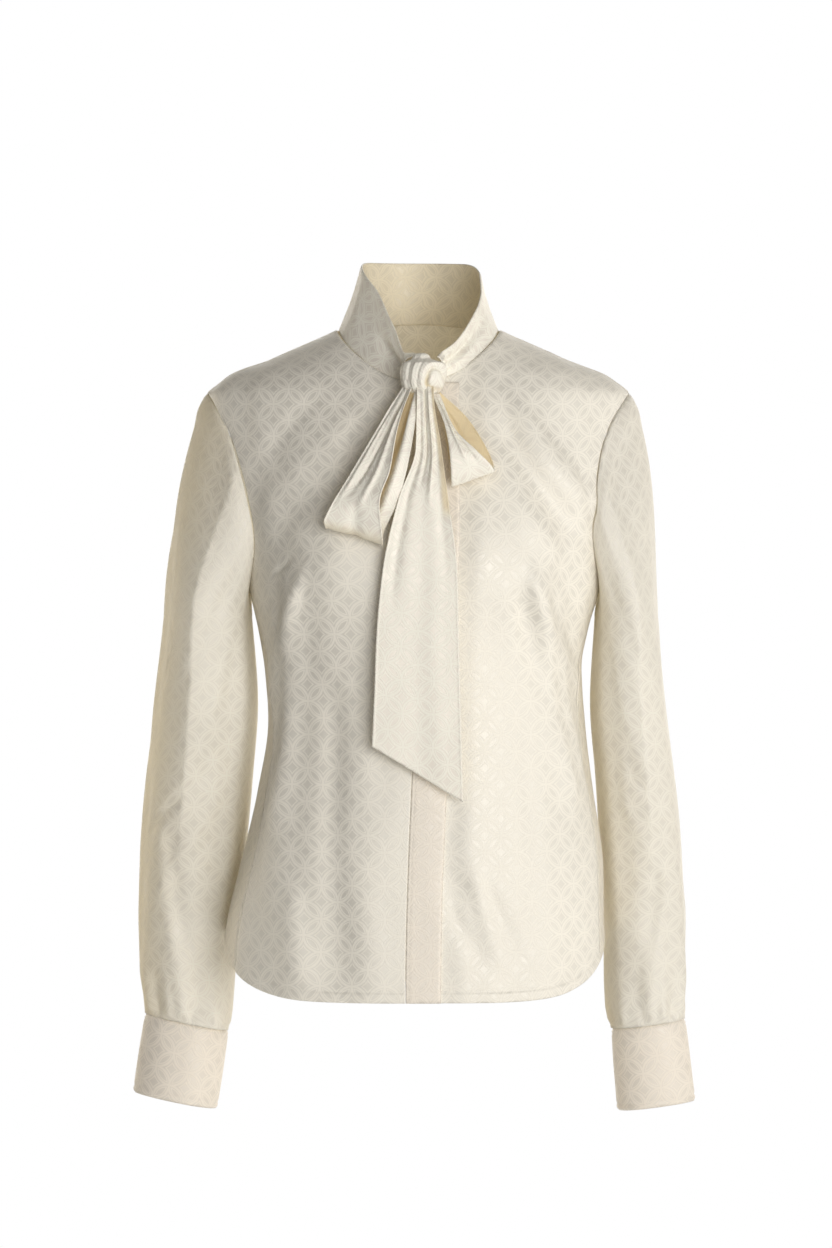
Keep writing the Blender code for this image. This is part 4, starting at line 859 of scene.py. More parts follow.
def silk(name, colour, glow, see_through):
    """Ivory silk jacquard: a satin ground with interlocking circles woven flatter.

    The distance to the nearest centre of two square sets of circles is found, and the larger
    of the two is 1 on each circle's line, 0.87 on the lens inside a petal and 1.17 on the
    small diamond. Light that passes through comes out warm.
    """
    material, add = shader_nodes(name)

    def calc(operation, a, b=0.0, c=0.0):
        node = add("ShaderNodeMath", {0: a, 1: b, 2: c}, operation=operation)
        return node.outputs[0]

    def vector(operation, a, b=(0.0, 0.0, 0.0)):
        node = add("ShaderNodeVectorMath", {0: a, 1: b}, operation=operation)
        return node.outputs["Value" if operation == "LENGTH" else "Vector"]

    cut = add("ShaderNodeUVMap", uv_map="cut_cloth").outputs[0]
    scale = 1.0 / (2.0 * CIRCLE_RADIUS)
    mapped = add("ShaderNodeMapping", {"Vector": cut,
                                       "Scale": (scale, scale, scale)}).outputs[0]
    half = (0.5, 0.5, 0.0)

    def from_centre(offset):
        """Distance to the nearest centre of one square set, 1 at the circle's rim."""
        moved = vector("ADD", mapped, (offset, offset, 0.0))
        return calc("MULTIPLY", vector("LENGTH", vector("SUBTRACT", vector("FRACTION", moved),
                                                        half)), 2.0)

    rim = calc("MAXIMUM", from_centre(100.5), from_centre(100.0))

    def band(place, half_width):
        """A soft line where rim has the value of place."""
        away = calc("ABSOLUTE", calc("SUBTRACT", rim, place))
        node = add("ShaderNodeMapRange", {0: away, 1: half_width * 0.5, 2: half_width * 1.5,
                                          3: 1.0, 4: 0.0}, interpolation_type="SMOOTHSTEP")
        return node.outputs[0]

    inner_lines = calc("MAXIMUM", band(1.0, 0.065), band(0.86, 0.034))
    lines = calc("MAXIMUM", inner_lines, band(1.18, 0.034))

    object_place = add("ShaderNodeTexCoord").outputs["Object"]
    soft = add("ShaderNodeTexNoise", {"Vector": object_place, "Scale": 9.0, "Detail": 2.0,
                                      "Roughness": 0.5}).outputs[0]
    threads = add("ShaderNodeTexNoise", {"Vector": add("ShaderNodeMapping", {
        "Vector": cut, "Scale": (2600.0, 300.0, 1.0)}).outputs[0],
        "Scale": 1.0, "Detail": 1.0, "Roughness": 0.5}).outputs[0]
    wear = add("ShaderNodeTexNoise", {"Vector": object_place, "Scale": 34.0, "Detail": 3.0,
                                      "Roughness": 0.55}).outputs[0]

    ground = [c * (1.0 - GROUND_SHADE) for c in colour]
    raised = [min(1.0, c * (1.0 + LINE_LIFT)) for c in colour]
    shade = add("ShaderNodeMix", {0: lines, 6: (*ground, 1.0), 7: (*raised, 1.0)},
                data_type="RGBA").outputs[2]
    # Painted shade and glow: the colour is mixed toward gold by each point's golden share
    golden = add("ShaderNodeAttribute", attribute_name="painted_shade_and_glow").outputs["Fac"]
    shade = add("ShaderNodeMix", {0: golden, 6: shade, 7: (*PAINTED_GOLD, 1.0)},
                data_type="RGBA").outputs[2]
    cloudy = add("ShaderNodeMapRange", {0: soft, 1: 0.3, 2: 0.7, 3: 0.97, 4: 1.02}).outputs[0]
    shade = add("ShaderNodeMix", {0: 1.0, 6: shade, 7: cloudy}, data_type="RGBA",
                blend_type="MULTIPLY").outputs[2]
    gloss = calc("SUBTRACT", 0.80, calc("MULTIPLY", lines, 0.50))
    rough = calc("ADD", calc("MULTIPLY", lines, 0.20),
                 add("ShaderNodeMapRange", {0: soft, 1: 0.3, 2: 0.7, 3: 0.50, 4: 0.57}).outputs[0])
    relief = calc("ADD", calc("MULTIPLY", lines, 0.9), calc("MULTIPLY", threads, 0.22))
    relief = calc("ADD", relief, calc("MULTIPLY", wear, 1.2))
    bump = add("ShaderNodeBump", {"Height": relief, "Strength": 0.35, "Distance": 0.00022})

    satin = calc("SUBTRACT", SATIN, calc("MULTIPLY", lines, SATIN * 0.85))
    face = add("ShaderNodeBsdfPrincipled", {
        "Base Color": shade, "Metallic": satin, "Roughness": rough, "Normal": bump.outputs[0],
        "Specular IOR Level": gloss, "Sheen Weight": 0.18, "Sheen Roughness": 0.35,
        "Sheen Tint": (1.0, 0.97, 0.90, 1.0), "Anisotropic": 0.35})
    through = add("ShaderNodeBsdfTranslucent", {"Color": (*glow, 1.0),
                                                "Normal": bump.outputs[0]})
    thin = add("ShaderNodeAttribute", attribute_name="sheer").outputs["Fac"]
    # Where the colour is painted golden, more light also passes through
    sheer = calc("ADD", see_through, calc("ADD", thin, calc("MULTIPLY", golden, 0.30)))
    mixed = add("ShaderNodeMixShader", {0: sheer, 1: face.outputs[0],
                                        2: through.outputs[0]})
    add("ShaderNodeOutputMaterial", {"Surface": mixed.outputs[0]})
    return material


IVORY = (0.925, 0.883, 0.790)
GLOW = (1.00, 0.94, 0.78)
front_silk = silk("front_silk", IVORY, GLOW, 0.07)
back_silk = silk("back_silk", IVORY, (1.0, 0.93, 0.74), 0.22)
# The sleeves' silk is lighter and warmer than the body's ivory: painted light for the brighter
# sleeves and the light through them
sleeve_silk = silk("sleeve_silk", (0.960, 0.925, 0.850), (1.0, 0.965, 0.86), 0.26)
band_silk = silk("band_silk", (0.940, 0.870, 0.770), GLOW, 0.12)
tie_silk = silk("tie_silk", (0.985, 0.925, 0.825), (1.0, 0.93, 0.75), 0.08)
# A darker, more golden copy of the tie silk for the collar's inside: painted shade
inner_painted_shade_silk = silk("inner_painted_shade_silk", (0.930, 0.860, 0.700), (1.0, 0.90, 0.66), 0.22)


# ---- Body ----

def make_front(name, side, edge, underlap):
    """One front, with the underlap set in below the placket."""
    lines = front_panel_lines(side, edge)
    azimuth, height = lines[..., 0], lines[..., 1]
    inset = 0.0
    if underlap:
        past_edge = body_point(azimuth, height)[..., 0] - placket_edge(height) - UNDERLAP_FLAT
        inset = UNDERLAP_DEPTH * (1.0 - smooth_step(past_edge / UNDERLAP_BLEND))
    grid = body_cloth(azimuth, height, inset)
    normal = body_normal(azimuth, height)
    grid = grid + turned_edge(height - hem_height(azimuth))[..., None] * normal
    piece = cloth_shell(name, grid, body_places(azimuth, height, 1.0), normal, False, front_silk)
    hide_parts(name)
    return piece


def turned_edge(above):
    """Rise of a narrow turned hem: doubled up to its stitching, which draws a groove."""
    doubled = 0.0005 * smooth_step((0.0105 - above) / 0.0015)
    groove = -0.0006 * bell((above - 0.0095) / 0.0011)
    lip = -0.0008 * smooth_step((0.0014 - above) / 0.0014)
    return doubled + groove + lip


def make_placket():
    """Lapped strip down the centre front, pressed flat, with a soft lapped edge."""
    rows, columns = 260, 22
    heights = np.linspace(HEM_HEIGHT, NECK_FRONT - 2.0 * SEAM_GAP, rows)[:, None]
    share = np.linspace(0.0, 1.0, columns)[None, :]
    across = placket_edge(heights) - PLACKET_WIDTH * (1.0 - share)
    height = np.broadcast_to(heights, across.shape)
    azimuth = azimuth_at_width(across, height)
    normal = body_normal(azimuth, height)
    inside = share * PLACKET_WIDTH
    rise = 0.0003 - 0.0005 * bell((inside - 0.0020) / 0.0010)
    rise = rise - 0.0009 * smooth_step((0.0018 - (PLACKET_WIDTH - inside)) / 0.0018)
    rise = rise + turned_edge(height - HEM_HEIGHT) * 0.6
    grid = body_cloth(azimuth, height) + rise[..., None] * normal
    places = body_places(azimuth, height, 1.0) + np.array([0.004, 0.007])
    piece = cloth_shell("placket", grid, places, normal, False, band_silk)
    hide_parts("placket")
    return piece


def make_back():
    """Whole back, plain, with its falls and drapes."""
    lines = back_panel_lines()
    azimuth, height = lines[..., 0], lines[..., 1]
    normal = body_normal(azimuth, height)
    grid = body_cloth(azimuth, height)
    grid = grid + turned_edge(height - hem_height(azimuth))[..., None] * normal
    piece = cloth_shell("back", grid, body_places(azimuth, height, -1.0), normal, False, back_silk)
    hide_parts("back")
    return piece


# ---- Sleeves and cuffs ----

def ring(angles, middle, half_width, half_depth, side, slant):
    """Level superellipse ring of a sleeve; slant lifts its outer side."""
    across = np.sign(np.cos(angles)) * np.abs(np.cos(angles)) ** (2.0 / SLEEVE_SQUARENESS)
    ahead = np.sign(np.sin(angles)) * np.abs(np.sin(angles)) ** (2.0 / SLEEVE_SQUARENESS)
    x = middle[0] + side * half_width * across
    y = middle[1] - half_depth * ahead
    z = middle[2] + slant * half_width * across
    return np.stack([x, y, z], axis=-1)


def ring_angles():
    """Even angles round a sleeve, from the top of the armhole over its front."""
    _, front, _ = armhole_angles(2)
    return front[0] + np.linspace(0.0, 2.0 * np.pi, SLEEVE_COLUMNS, endpoint=False)


def cuff_ring(side, cuff, share):
    """Ring of a cuff, share 0 at its seam and 1 at its open edge."""
    top = np.array(cuff["top"])
    bottom = np.array(cuff["bottom"])
    height, out, half_width, half_depth = top + (bottom - top) * share
    middle = (side * out, CUFF_DEPTH, height)
    return ring(ring_angles(), middle, half_width, half_depth, side, cuff["slant"])


def fold_along_sleeve(folds, angles, height):
    """Sum of the folds along a sleeve: a bell round a line that may turn as it falls."""
    total = np.zeros(height.shape)
    for first, last, top, bottom, half_width, depth in folds.values():
        share = np.clip((top - height) / (top - bottom), 0.0, 1.0)
        middle = np.radians(first + (last - first) * share)
        turn = np.degrees(turn_between(angles, middle))
        past = np.clip(height - top, 0.0, None) + np.clip(bottom - height, 0.0, None)
        total += depth * np.exp(-(turn / half_width) ** 2 - (past / SLEEVE_FOLD_FADE) ** 2)
    return total


def gathers_above_cuff(angles, height, cuff_height):
    """Uneven pleats that the cuff draws in, dying out as they rise."""
    total = np.zeros(height.shape)
    above = height - cuff_height
    for middle, half_width, depth, reach in CUFF_GATHERS.values():
        turn = np.degrees(turn_between(angles, np.radians(middle)))
        spread = half_width * (1.0 + 0.9 * np.clip(above / reach, 0.0, 2.0))
        rise = smooth_step(above / 0.008) * bell(above / reach)
        total += depth * rise * bell(turn / spread)
    return total


def make_sleeve(name, side, table, cuff, seed, crispness, glowing):
    """Sleeve from the armhole seam to the cuff seam.

    glowing lists where light from behind shows through: angle, half width, strength. There
    the cloth lets more light through and its colour is painted golden, a painted glow.
    """
    angles = ring_angles()
    azimuth, height = armhole_line(side, angles, 0.0)
    start = body_cloth(azimuth, height)
    start[:, 0] += side * SEAM_GAP / 2.0
    heights = [row[0] for row in table.values()]
    wanted = np.linspace(heights[0], heights[-1], SLEEVE_BODY_ROWS + 1)
    _, outer, inner, middle_depth, half_depth, slant = read_columns(table, 0, wanted)
    spread = [a[:, None] for a in (outer, inner, middle_depth, half_depth, slant, wanted)]
    middle = (side * (spread[0] + spread[1]) / 2.0, spread[2], spread[5])
    rings = ring(angles[None], middle, (spread[0] - spread[1]) / 2.0, spread[3], side, spread[4])
    first = rings[0]
    reach = np.linalg.norm(first - start, axis=1)[:, None]
    outward = SLEEVE_LEAVE_TOP * np.clip(np.cos(angles), 0.0, 1.0) + SLEEVE_LEAVE_OUT
    leave = np.stack([side * outward, -SLEEVE_LEAVE_FRONT * np.sin(angles),
                      -np.ones(len(angles))], axis=-1)
    leave = leave / np.linalg.norm(leave, axis=1)[:, None] * reach
    arrive = np.array([side * SLEEVE_SETTLE[0], SLEEVE_SETTLE[1], -1.0]) * reach
    t = np.linspace(0.0, 1.0, SLEEVE_HEAD_ROWS + 1)[:-1, None, None]
    head = ((1.0 + 2.0 * t) * (1.0 - t) ** 2 * start + t ** 2 * (3.0 - 2.0 * t) * first
            + t * (1.0 - t) ** 2 * leave + t ** 2 * (t - 1.0) * arrive)
    last = cuff_ring(side, cuff, 0.0)
    last[:, 2] += SEAM_GAP
    share = np.linspace(0.0, 1.0, 8)[1:, None, None]
    grid = np.concatenate([head, rings, rings[-1] * (1.0 - share) + last * share])
    normal = side * surface_normals(grid, True)
    rise = fold_along_sleeve(SLEEVE_FOLDS, angles[None], grid[..., 2])
    rise = rise + fold_along_sleeve(SLEEVE_CREASES, angles[None], grid[..., 2]) * crispness
    along = run_along(grid[:, 0])
    waves = drape(SLEEVE_RADIUS * turn_between(angles, 0.0)[None], grid[..., 2], seed,
                  0.0011, 0.050)
    rise = rise + waves * np.cos(angles / 2.0)[None] ** 2
    rise = rise * smooth_step(along / 0.035)[:, None]
    cuff_top = np.broadcast_to(last[:, 2][None], grid.shape[:2])
    rise = rise * smooth_step((grid[..., 2] - cuff_top) / 0.010)
    rise = rise + gathers_above_cuff(angles[None], grid[..., 2], cuff_top)
    seam = -0.0009 * bell(along / 0.0020) + 0.0005 * bell((along - 0.006) / 0.004)
    ease = 0.0022 * bell((along - 0.017) / 0.011)
    rise = rise + ease[:, None] * np.clip(np.cos(angles), 0.0, 1.0)[None] ** 2
    grid = grid + (rise + seam[:, None])[..., None] * normal
    places = summed_places(grid, True, 0, SLEEVE_HEAD_ROWS)
    sheer = np.zeros(len(angles))
    for middle, reach, strength in glowing:
        away = np.abs(np.degrees(turn_between(angles, np.radians(middle))))
        sheer += strength * smooth_step((reach - away) / GLOW_BLEND + 0.5)
    piece = cloth_shell(name, grid, places, normal, True, sleeve_silk,
                        painted_shade_and_glow=PAINTED_GLOW_SHARE * sheer[None], sheer=sheer[None])
    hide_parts(name)
    return piece


def make_cuff(name, side, cuff):
    """Cuff with its lap, edge stitching and a soft press line."""
    angles = ring_angles()
    share = np.linspace(0.0, 1.0, CUFF_ROWS + 1)
    grid = np.array([cuff_ring(side, cuff, s) for s in share])
    grid[0, :, 2] += CUFF_TUCK
    normal = side * surface_normals(grid, True)
    deep = abs(cuff["top"][0] - cuff["bottom"][0])
    from_top = (share * deep)[:, None]
    from_bottom = deep - from_top
    rise = -0.0008 * bell((from_bottom - 0.0055) / 0.0010)
    rise = rise - 0.0006 * bell((from_top - 0.0050) / 0.0010)
    rise = rise - 0.0010 * smooth_step((0.0020 - from_bottom) / 0.0020)
    rise = rise - CUFF_TUCK * smooth_step((0.0040 - from_top) / 0.0040)
    rise = rise + 0.0004 * np.sin(from_top / deep * np.pi)
    past = np.degrees(turn_between(angles, np.radians(CUFF_LAP_ANGLE)))
    lap = CUFF_LAP_STEP * smooth_step((past + 1.2) / 2.4)
    lap = lap * (1.0 - smooth_step(past / CUFF_LAP_FADE))
    rise = rise + lap[None]
    rise = rise + drape(CUFF_RADIUS * turn_between(angles, 0.0)[None], from_top, 9 + side,
                        0.0005, 0.045)
    grid = grid + rise[..., None] * normal
    piece = cloth_shell(name, grid, summed_places(grid, True), normal, True, band_silk, BAND_SHELL)
    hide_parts(name)
    return piece


# ---- Collar and bow ----

def knot_side_point(azimuth_round, height_share):
    """Point just off the knot: angle round it and share of its half height."""
    half = np.array(KNOT_HALF_SIZE) + 2.0 * SEAM_GAP
    slim = (1.0 - height_share ** 2) ** (KNOT_BARREL / 2.0)
    offset = np.stack([half[0] * np.sin(azimuth_round) * slim,
                       -half[1] * np.cos(azimuth_round) * slim,
                       half[2] * height_share], axis=-1)
    return np.array(KNOT_MIDDLE) + offset


def make_collar():
    """Collar band round the neck, drawn together into the knot at both ends."""
    start = float(front_edge_azimuths(-PLACKET_WIDTH - SEAM_GAP, np.array(NECK_FRONT)))
    end = float(front_edge_azimuths(-UNDERLAP_WIDTH, np.array(NECK_FRONT))) - 2.0 * np.pi
    azimuth = np.linspace(start - 0.10, end + 0.10, COLLAR_COLUMNS)
    seam = body_cloth(azimuth, neck_height(azimuth))
    seam[:, 0] -= COLLAR_TUCK * np.sin(azimuth)
    seam[:, 1] += COLLAR_TUCK * np.cos(azimuth)
    seam[:, 2] -= COLLAR_TUCK
    rows = np.array(list(COLLAR_TOP.values()))
    radius = smooth_curve(-rows[:, 0], rows[:, 1], -np.degrees(azimuth))
    height = smooth_curve(-rows[:, 0], rows[:, 2], -np.degrees(azimuth))
    edge = np.stack([radius * np.sin(azimuth), -radius * np.cos(azimuth), height], axis=-1)
    share = np.linspace(0.0, 1.0, COLLAR_ROWS + 1)
    grid = seam[None] * (1.0 - share)[:, None, None] + edge[None] * share[:, None, None]
    belly = COLLAR_BELLY * np.sin(np.pi * share)[:, None]
    grid[..., 0] += belly * np.sin(azimuth)[None]
    grid[..., 1] -= belly * np.cos(azimuth)[None]
    seat = np.radians(COLLAR_SEAT_ANGLE)
    right_end = knot_side_point(-seat, np.linspace(*COLLAR_RIGHT_SEAT, COLLAR_ROWS + 1))
    left_end = knot_side_point(seat, np.linspace(*COLLAR_LEFT_SEAT, COLLAR_ROWS + 1))
    link = smooth_step(np.linspace(0.0, 1.0, 16)[1:-1])[:, None, None]
    right_link = right_end[None] * (1.0 - link) + grid[:, 0][None] * link
    left_link = grid[:, -1][None] * (1.0 - link) + left_end[None] * link
    columns = [right_end[None], right_link, np.swapaxes(grid, 0, 1), left_link, left_end[None]]
    whole = np.swapaxes(np.concatenate(columns), 0, 1)
    normal = -surface_normals(whole, False)
    along = run_along(whole[COLLAR_ROWS // 2])
    to_end = np.minimum(along, along[-1] - along)
    pinch = bell(to_end / 0.026) * smooth_step(to_end / 0.005)
    wave = np.cos(2.0 * np.pi * COLLAR_PLEATS * share)[:, None]
    fine = np.cos(2.0 * np.pi * 6.0 * share + 1.3)[:, None]
    rise = (COLLAR_PLEAT_DEPTH * wave + 0.0009 * fine) * pinch[None]
    rise = rise * np.sin(np.pi * share)[:, None]
    right = bell((along - 0.045) / 0.030)[None]
    rise = rise - 0.0022 * right * bell((share - 0.45) / 0.11)[:, None]
    rise = rise + 0.0016 * right * bell((share - 0.68) / 0.12)[:, None]
    left = bell((along[-1] - along - 0.050) / 0.034)[None]
    rise = rise - 0.0024 * left * bell((share - 0.55) / 0.10)[:, None]
    rise = rise + 0.0018 * left * bell((share - 0.30) / 0.12)[:, None]
    waves = drape(along[None], BAND_WIDTH * share[:, None], 21, 0.0007, 0.040)
    rise = rise + waves * np.sin(np.pi * share)[:, None]
    rise = rise - 0.0009 * smooth_step((share - 0.965) / 0.035)[:, None]
    whole = whole + rise[..., None] * normal
    piece = cloth_shell("collar", whole, summed_places(whole, False), normal, False, tie_silk,
                        BAND_SHELL, 0.0, inner_painted_shade_silk)
    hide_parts("collar")
    return piece


# Middle of the knob across and up, in shares of the knot's half size, and its crease
KNOB_ACROSS = 0.56
KNOB_UP = -0.30
KNOB_CREASE = 0.42


def make_knot():
    """Knot: the tie arched over from its lower left to its right, round a rounded knob.

    Seen from the front, distance from the knob's middle sets the form: a dome, a deep crease
    round it, then uneven pleats that follow the arch. The top is drawn in to a standing fold.
    """
    rows, columns = 96, 160
    tilt = np.linspace(-0.5, 0.5, rows) * np.pi * 0.985
    share = np.sin(tilt)[:, None]
    slim = np.cos(tilt)[:, None] ** KNOT_BARREL
    angles = np.linspace(0.0, 2.0 * np.pi, columns, endpoint=False)[None]
    front = smooth_step((np.cos(angles) + 0.25) / 0.6)
    across = np.sin(angles) * slim
    reach = np.hypot(across - KNOB_ACROSS, (share - KNOB_UP) * 0.90)
    bearing = np.arctan2(share - KNOB_UP, across - KNOB_ACROSS)
    bend = reach * (1.0 + 0.10 * np.sin(2.0 * bearing + 0.6)) + 0.05 * np.sin(3.0 * bearing)
    pleats = 0.040 * np.cos(2.0 * np.pi * bend / 0.37 + 0.9) * (0.7 + 0.3 * np.cos(bearing - 2.6))
    pleats = pleats + 0.016 * np.cos(2.0 * np.pi * bend / 0.145 + 1.5 * bearing)
    arch = smooth_step((reach - 0.40) / 0.16)
    open_side = 0.25 + 0.75 * smooth_step(0.5 - 0.9 * np.cos(bearing + 0.35))
    crease = -0.15 * open_side * bell((bend - KNOB_CREASE) / 0.070)
    dome = 0.06 * bell(reach / 0.34)
    swell = 0.07 * bell((reach - 0.85) / 0.30) * smooth_step(0.4 + 0.8 * np.sin(bearing))
    size = 0.97 + front * (arch * pleats + crease + dome + swell)
    size = size + (1.0 - front) * 0.02 * np.cos(3.0 * share * np.pi + angles)
    standing = smooth_step((share - 0.50) / 0.25)
    size = size * (1.0 - 0.48 * standing)
    x = KNOT_HALF_SIZE[0] * np.sin(angles) * slim * size - 0.0015 * standing
    y = -KNOT_HALF_SIZE[1] * np.cos(angles) * slim * size
    z = np.broadcast_to(KNOT_HALF_SIZE[2] * share, x.shape)
    grid = np.stack([x, y, z], axis=-1) + np.array(KNOT_MIDDLE)
    normal = grid - np.array(KNOT_MIDDLE)
    # Painted golden shade in the crease round the knob, on its lower part
    painted_shade_and_glow = 0.7 * front * open_side * bell((bend - KNOB_CREASE) / 0.09) * smooth_step(0.4 - share)
    piece = cloth_shell("knot", grid, summed_places(grid, True), normal, True, tie_silk,
                        BAND_SHELL, painted_shade_and_glow)
    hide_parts("knot")
    return piece


def ribbon_form(table, rows, both_ends, creases, seed):
    """Ribbon between two smooth edge lines, finely pleated where it leaves the knot.

    Creases hold: share along at each end, share across at each end, half width, depth.
    """
    stations = np.array(list(table.values()))
    middle = (stations[:, :3] + stations[:, 3:]) / 2.0
    length = run_along(middle)
    wanted = np.linspace(0.0, length[-1], rows + 1)
    edges = np.stack([smooth_curve(length, stations[:, c], wanted) for c in range(6)], axis=-1)
    share = np.linspace(0.0, 1.0, RIBBON_COLUMNS + 1)
    grid = (edges[:, None, :3] * (1.0 - share)[None, :, None]
            + edges[:, None, 3:] * share[None, :, None])
    normal = surface_normals(grid, False)
    run = wanted / length[-1]
    fade = bell(run / PLEAT_REACH)
    start = smooth_step(run / PLEAT_START)
    close = bell(run / FINE_PLEAT_REACH)
    if both_ends:
        fade = fade + bell((1.0 - run) / PLEAT_REACH)
        start = start * smooth_step((1.0 - run) / PLEAT_START)
        close = close + bell((1.0 - run) / FINE_PLEAT_REACH)
    width = np.linalg.norm(edges[:, 3:] - edges[:, :3], axis=1)
    uneven = share + 0.07 * np.sin(2.0 * np.pi * share + seed)
    wave = np.sin(2.0 * np.pi * RIBBON_PLEATS * uneven)
    fine = (np.sin(2.0 * np.pi * 4.0 * uneven + 0.8)
            + 0.6 * np.sin(2.0 * np.pi * 6.3 * uneven + seed))
    rise = (PLEAT_DEPTH_SHARE * (width * fade * start)[:, None] * wave[None]
            + FINE_PLEAT_SHARE * (width * close * start)[:, None] * fine[None])
    for first, last, left, right, half_width, depth in creases.values():
        t = (run - first) / (last - first)
        place = left + (right - left) * np.clip(t, 0.0, 1.0)
        body = smooth_step((t + 0.15) / 0.4) * smooth_step((1.15 - t) / 0.4)
        aside = (share[None] - place[:, None]) / half_width
        rise = rise + depth * body[:, None] * bell(aside)
    waves = drape(BAND_WIDTH * share[None], wanted[:, None], seed, 0.0004, 0.040)
    rise = rise + waves * start[:, None]
    to_edge = np.minimum(share, 1.0 - share)[None] * width[:, None]
    rise = rise - 0.0006 * smooth_step((0.0016 - to_edge) / 0.0016)
    return grid + rise[..., None] * normal, normal


BIG_LOOP_CREASES = {
    "front ridge": (0.02, 0.34, 0.55, 0.3, 0.07, 0.0026),
    "front hollow": (0.05, 0.4, 0.8, 0.62, 0.08, -0.0024),
    "front edge fall": (0.1, 0.36, 0.2, 0.12, 0.06, -0.0016),
    "fold pinch": (0.4, 0.58, 0.55, 0.45, 0.12, 0.0014),
    "back ridge": (0.56, 0.98, 0.82, 0.88, 0.08, 0.0048),
    "back hollow": (0.58, 0.95, 0.52, 0.6, 0.14, -0.004),
}
SMALL_LOOP_CREASES = {
    "back fall": (0.05, 0.4, 0.4, 0.5, 0.08, 0.0014),
    "front fall": (0.62, 0.98, 0.5, 0.4, 0.08, 0.0018),
    "front hollow": (0.6, 0.95, 0.75, 0.65, 0.07, -0.0016),
}
FRONT_TAIL_CREASES = {
    "throat ridge": (0.0, 0.26, 0.45, 0.4, 0.06, 0.0026),
    "throat hollow": (0.02, 0.3, 0.68, 0.62, 0.06, -0.0028),
    "left fall": (0.06, 0.55, 0.2, 0.16, 0.07, 0.0016),
    "right fall": (0.08, 0.5, 0.8, 0.86, 0.08, 0.001),
    "middle fall": (0.2, 0.95, 0.52, 0.48, 0.13, 0.0006),
    "lower hollow": (0.45, 1.0, 0.7, 0.74, 0.12, -0.0006),
}
BACK_TAIL_CREASES = {
    "left fall": (0.05, 0.9, 0.3, 0.26, 0.09, 0.0014),
    "right fall": (0.05, 0.9, 0.7, 0.76, 0.08, 0.0014),
}


def painted_shade_patch(run, share, patches):
    """Sum of soft patches of painted golden shade: start, end, left, right, strength of each."""
    total = np.zeros((len(run), len(share)))
    for first, last, left, right, strength in patches:
        along = smooth_step((run - first) / 0.05 + 0.5) * smooth_step((last - run) / 0.05 + 0.5)
        across = smooth_step((share - left) / 0.10 + 0.5)
        across = across * smooth_step((right - share) / 0.10 + 0.5)
        total += strength * along[:, None] * across[None]
    return np.clip(total, 0.0, 1.0)


def make_ribbon(name, table, rows, both_ends, creases, seed, patches=(), face=1.0):
    """Loop or tail of the bow; face says on which side of the grid its face lies."""
    grid, normal = ribbon_form(table, rows, both_ends, creases, seed)
    # Painted golden shade where the ribbon's hollows lie in shadow, mixed into its colour
    painted_shade_and_glow = painted_shade_patch(np.linspace(0.0, 1.0, rows + 1),
                        np.linspace(0.0, 1.0, RIBBON_COLUMNS + 1), patches)
    piece = cloth_shell(name, grid, summed_places(grid, False, RIBBON_COLUMNS // 2), face * normal,
                        False, tie_silk, RIBBON_SHELL, painted_shade_and_glow)
    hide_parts(name)
    return piece


# ---- Build ----

front_right = make_front("front_right", -1, -PLACKET_WIDTH - SEAM_GAP, False)
front_left = make_front("front_left", 1, -UNDERLAP_WIDTH, True)
placket = make_placket()
back = make_back()
sleeve_right = make_sleeve("sleeve_right", -1, RIGHT_SLEEVE, RIGHT_CUFF, 5, 0.8,
                           [(340.0, 75.0, 0.26), (215.0, 40.0, 0.22)])
sleeve_left = make_sleeve("sleeve_left", 1, LEFT_SLEEVE, LEFT_CUFF, 8, 0.5,
                          [(190.0, 40.0, 0.34), (290.0, 55.0, 0.06)])
cuff_right = make_cuff("cuff_right", -1, RIGHT_CUFF)
cuff_left = make_cuff("cuff_left", 1, LEFT_CUFF)
collar = make_collar()
knot = make_knot()
# The lists after the creases are patches of painted golden shade: the loops' back layers and the
# front tail's right edge below the knot
loop_right = make_ribbon("loop_right", BIG_LOOP, LOOP_ROWS, True, BIG_LOOP_CREASES, 31,
                         [(0.56, 1.10, -0.1, 0.75, 0.85), (0.47, 0.56, -0.1, 1.1, 0.25)], -1.0)
loop_left = make_ribbon("loop_left", SMALL_LOOP, LOOP_ROWS, True, SMALL_LOOP_CREASES, 33,
                        [(-0.1, 0.46, -0.1, 1.1, 0.80)])
tail_front = make_ribbon("tail_front", FRONT_TAIL, TAIL_ROWS, False, FRONT_TAIL_CREASES, 35,
                         [(-0.1, 0.34, 0.88, 1.1, 0.55)], -1.0)
tail_back = make_ribbon("tail_back", BACK_TAIL, TAIL_ROWS, False, BACK_TAIL_CREASES, 37)


# ---- Studio ----

def plain_material(name, colour, roughness):
    """Plain matt finish."""
    material, add = shader_nodes(name)
    face = add("ShaderNodeBsdfPrincipled", {"Base Color": (*colour, 1.0), "Roughness": roughness})
    add("ShaderNodeOutputMaterial", {"Surface": face.outputs[0]})
    return material


FLOOR_RADIUS = 1.3
FLOOR_HEIGHT = -1.46
FLOOR_SIDES = 96


def make_floor():
    """Round pale floor at standing height below the blouse."""
    mesh = bpy.data.meshes.new("floor")
    angles = np.linspace(0.0, 2.0 * np.pi, FLOOR_SIDES, endpoint=False)
    points = np.stack([FLOOR_RADIUS * np.cos(angles), FLOOR_RADIUS * np.sin(angles),
                       np.full(FLOOR_SIDES, FLOOR_HEIGHT)], axis=-1)
    mesh.from_pydata(points.tolist(), [], [list(range(FLOOR_SIDES))])
    mesh.materials.append(plain_material("floor_white", (0.86, 0.86, 0.85), 0.8))
    floor = bpy.data.objects.new("floor", mesh)
    bpy.context.scene.collection.objects.link(floor)


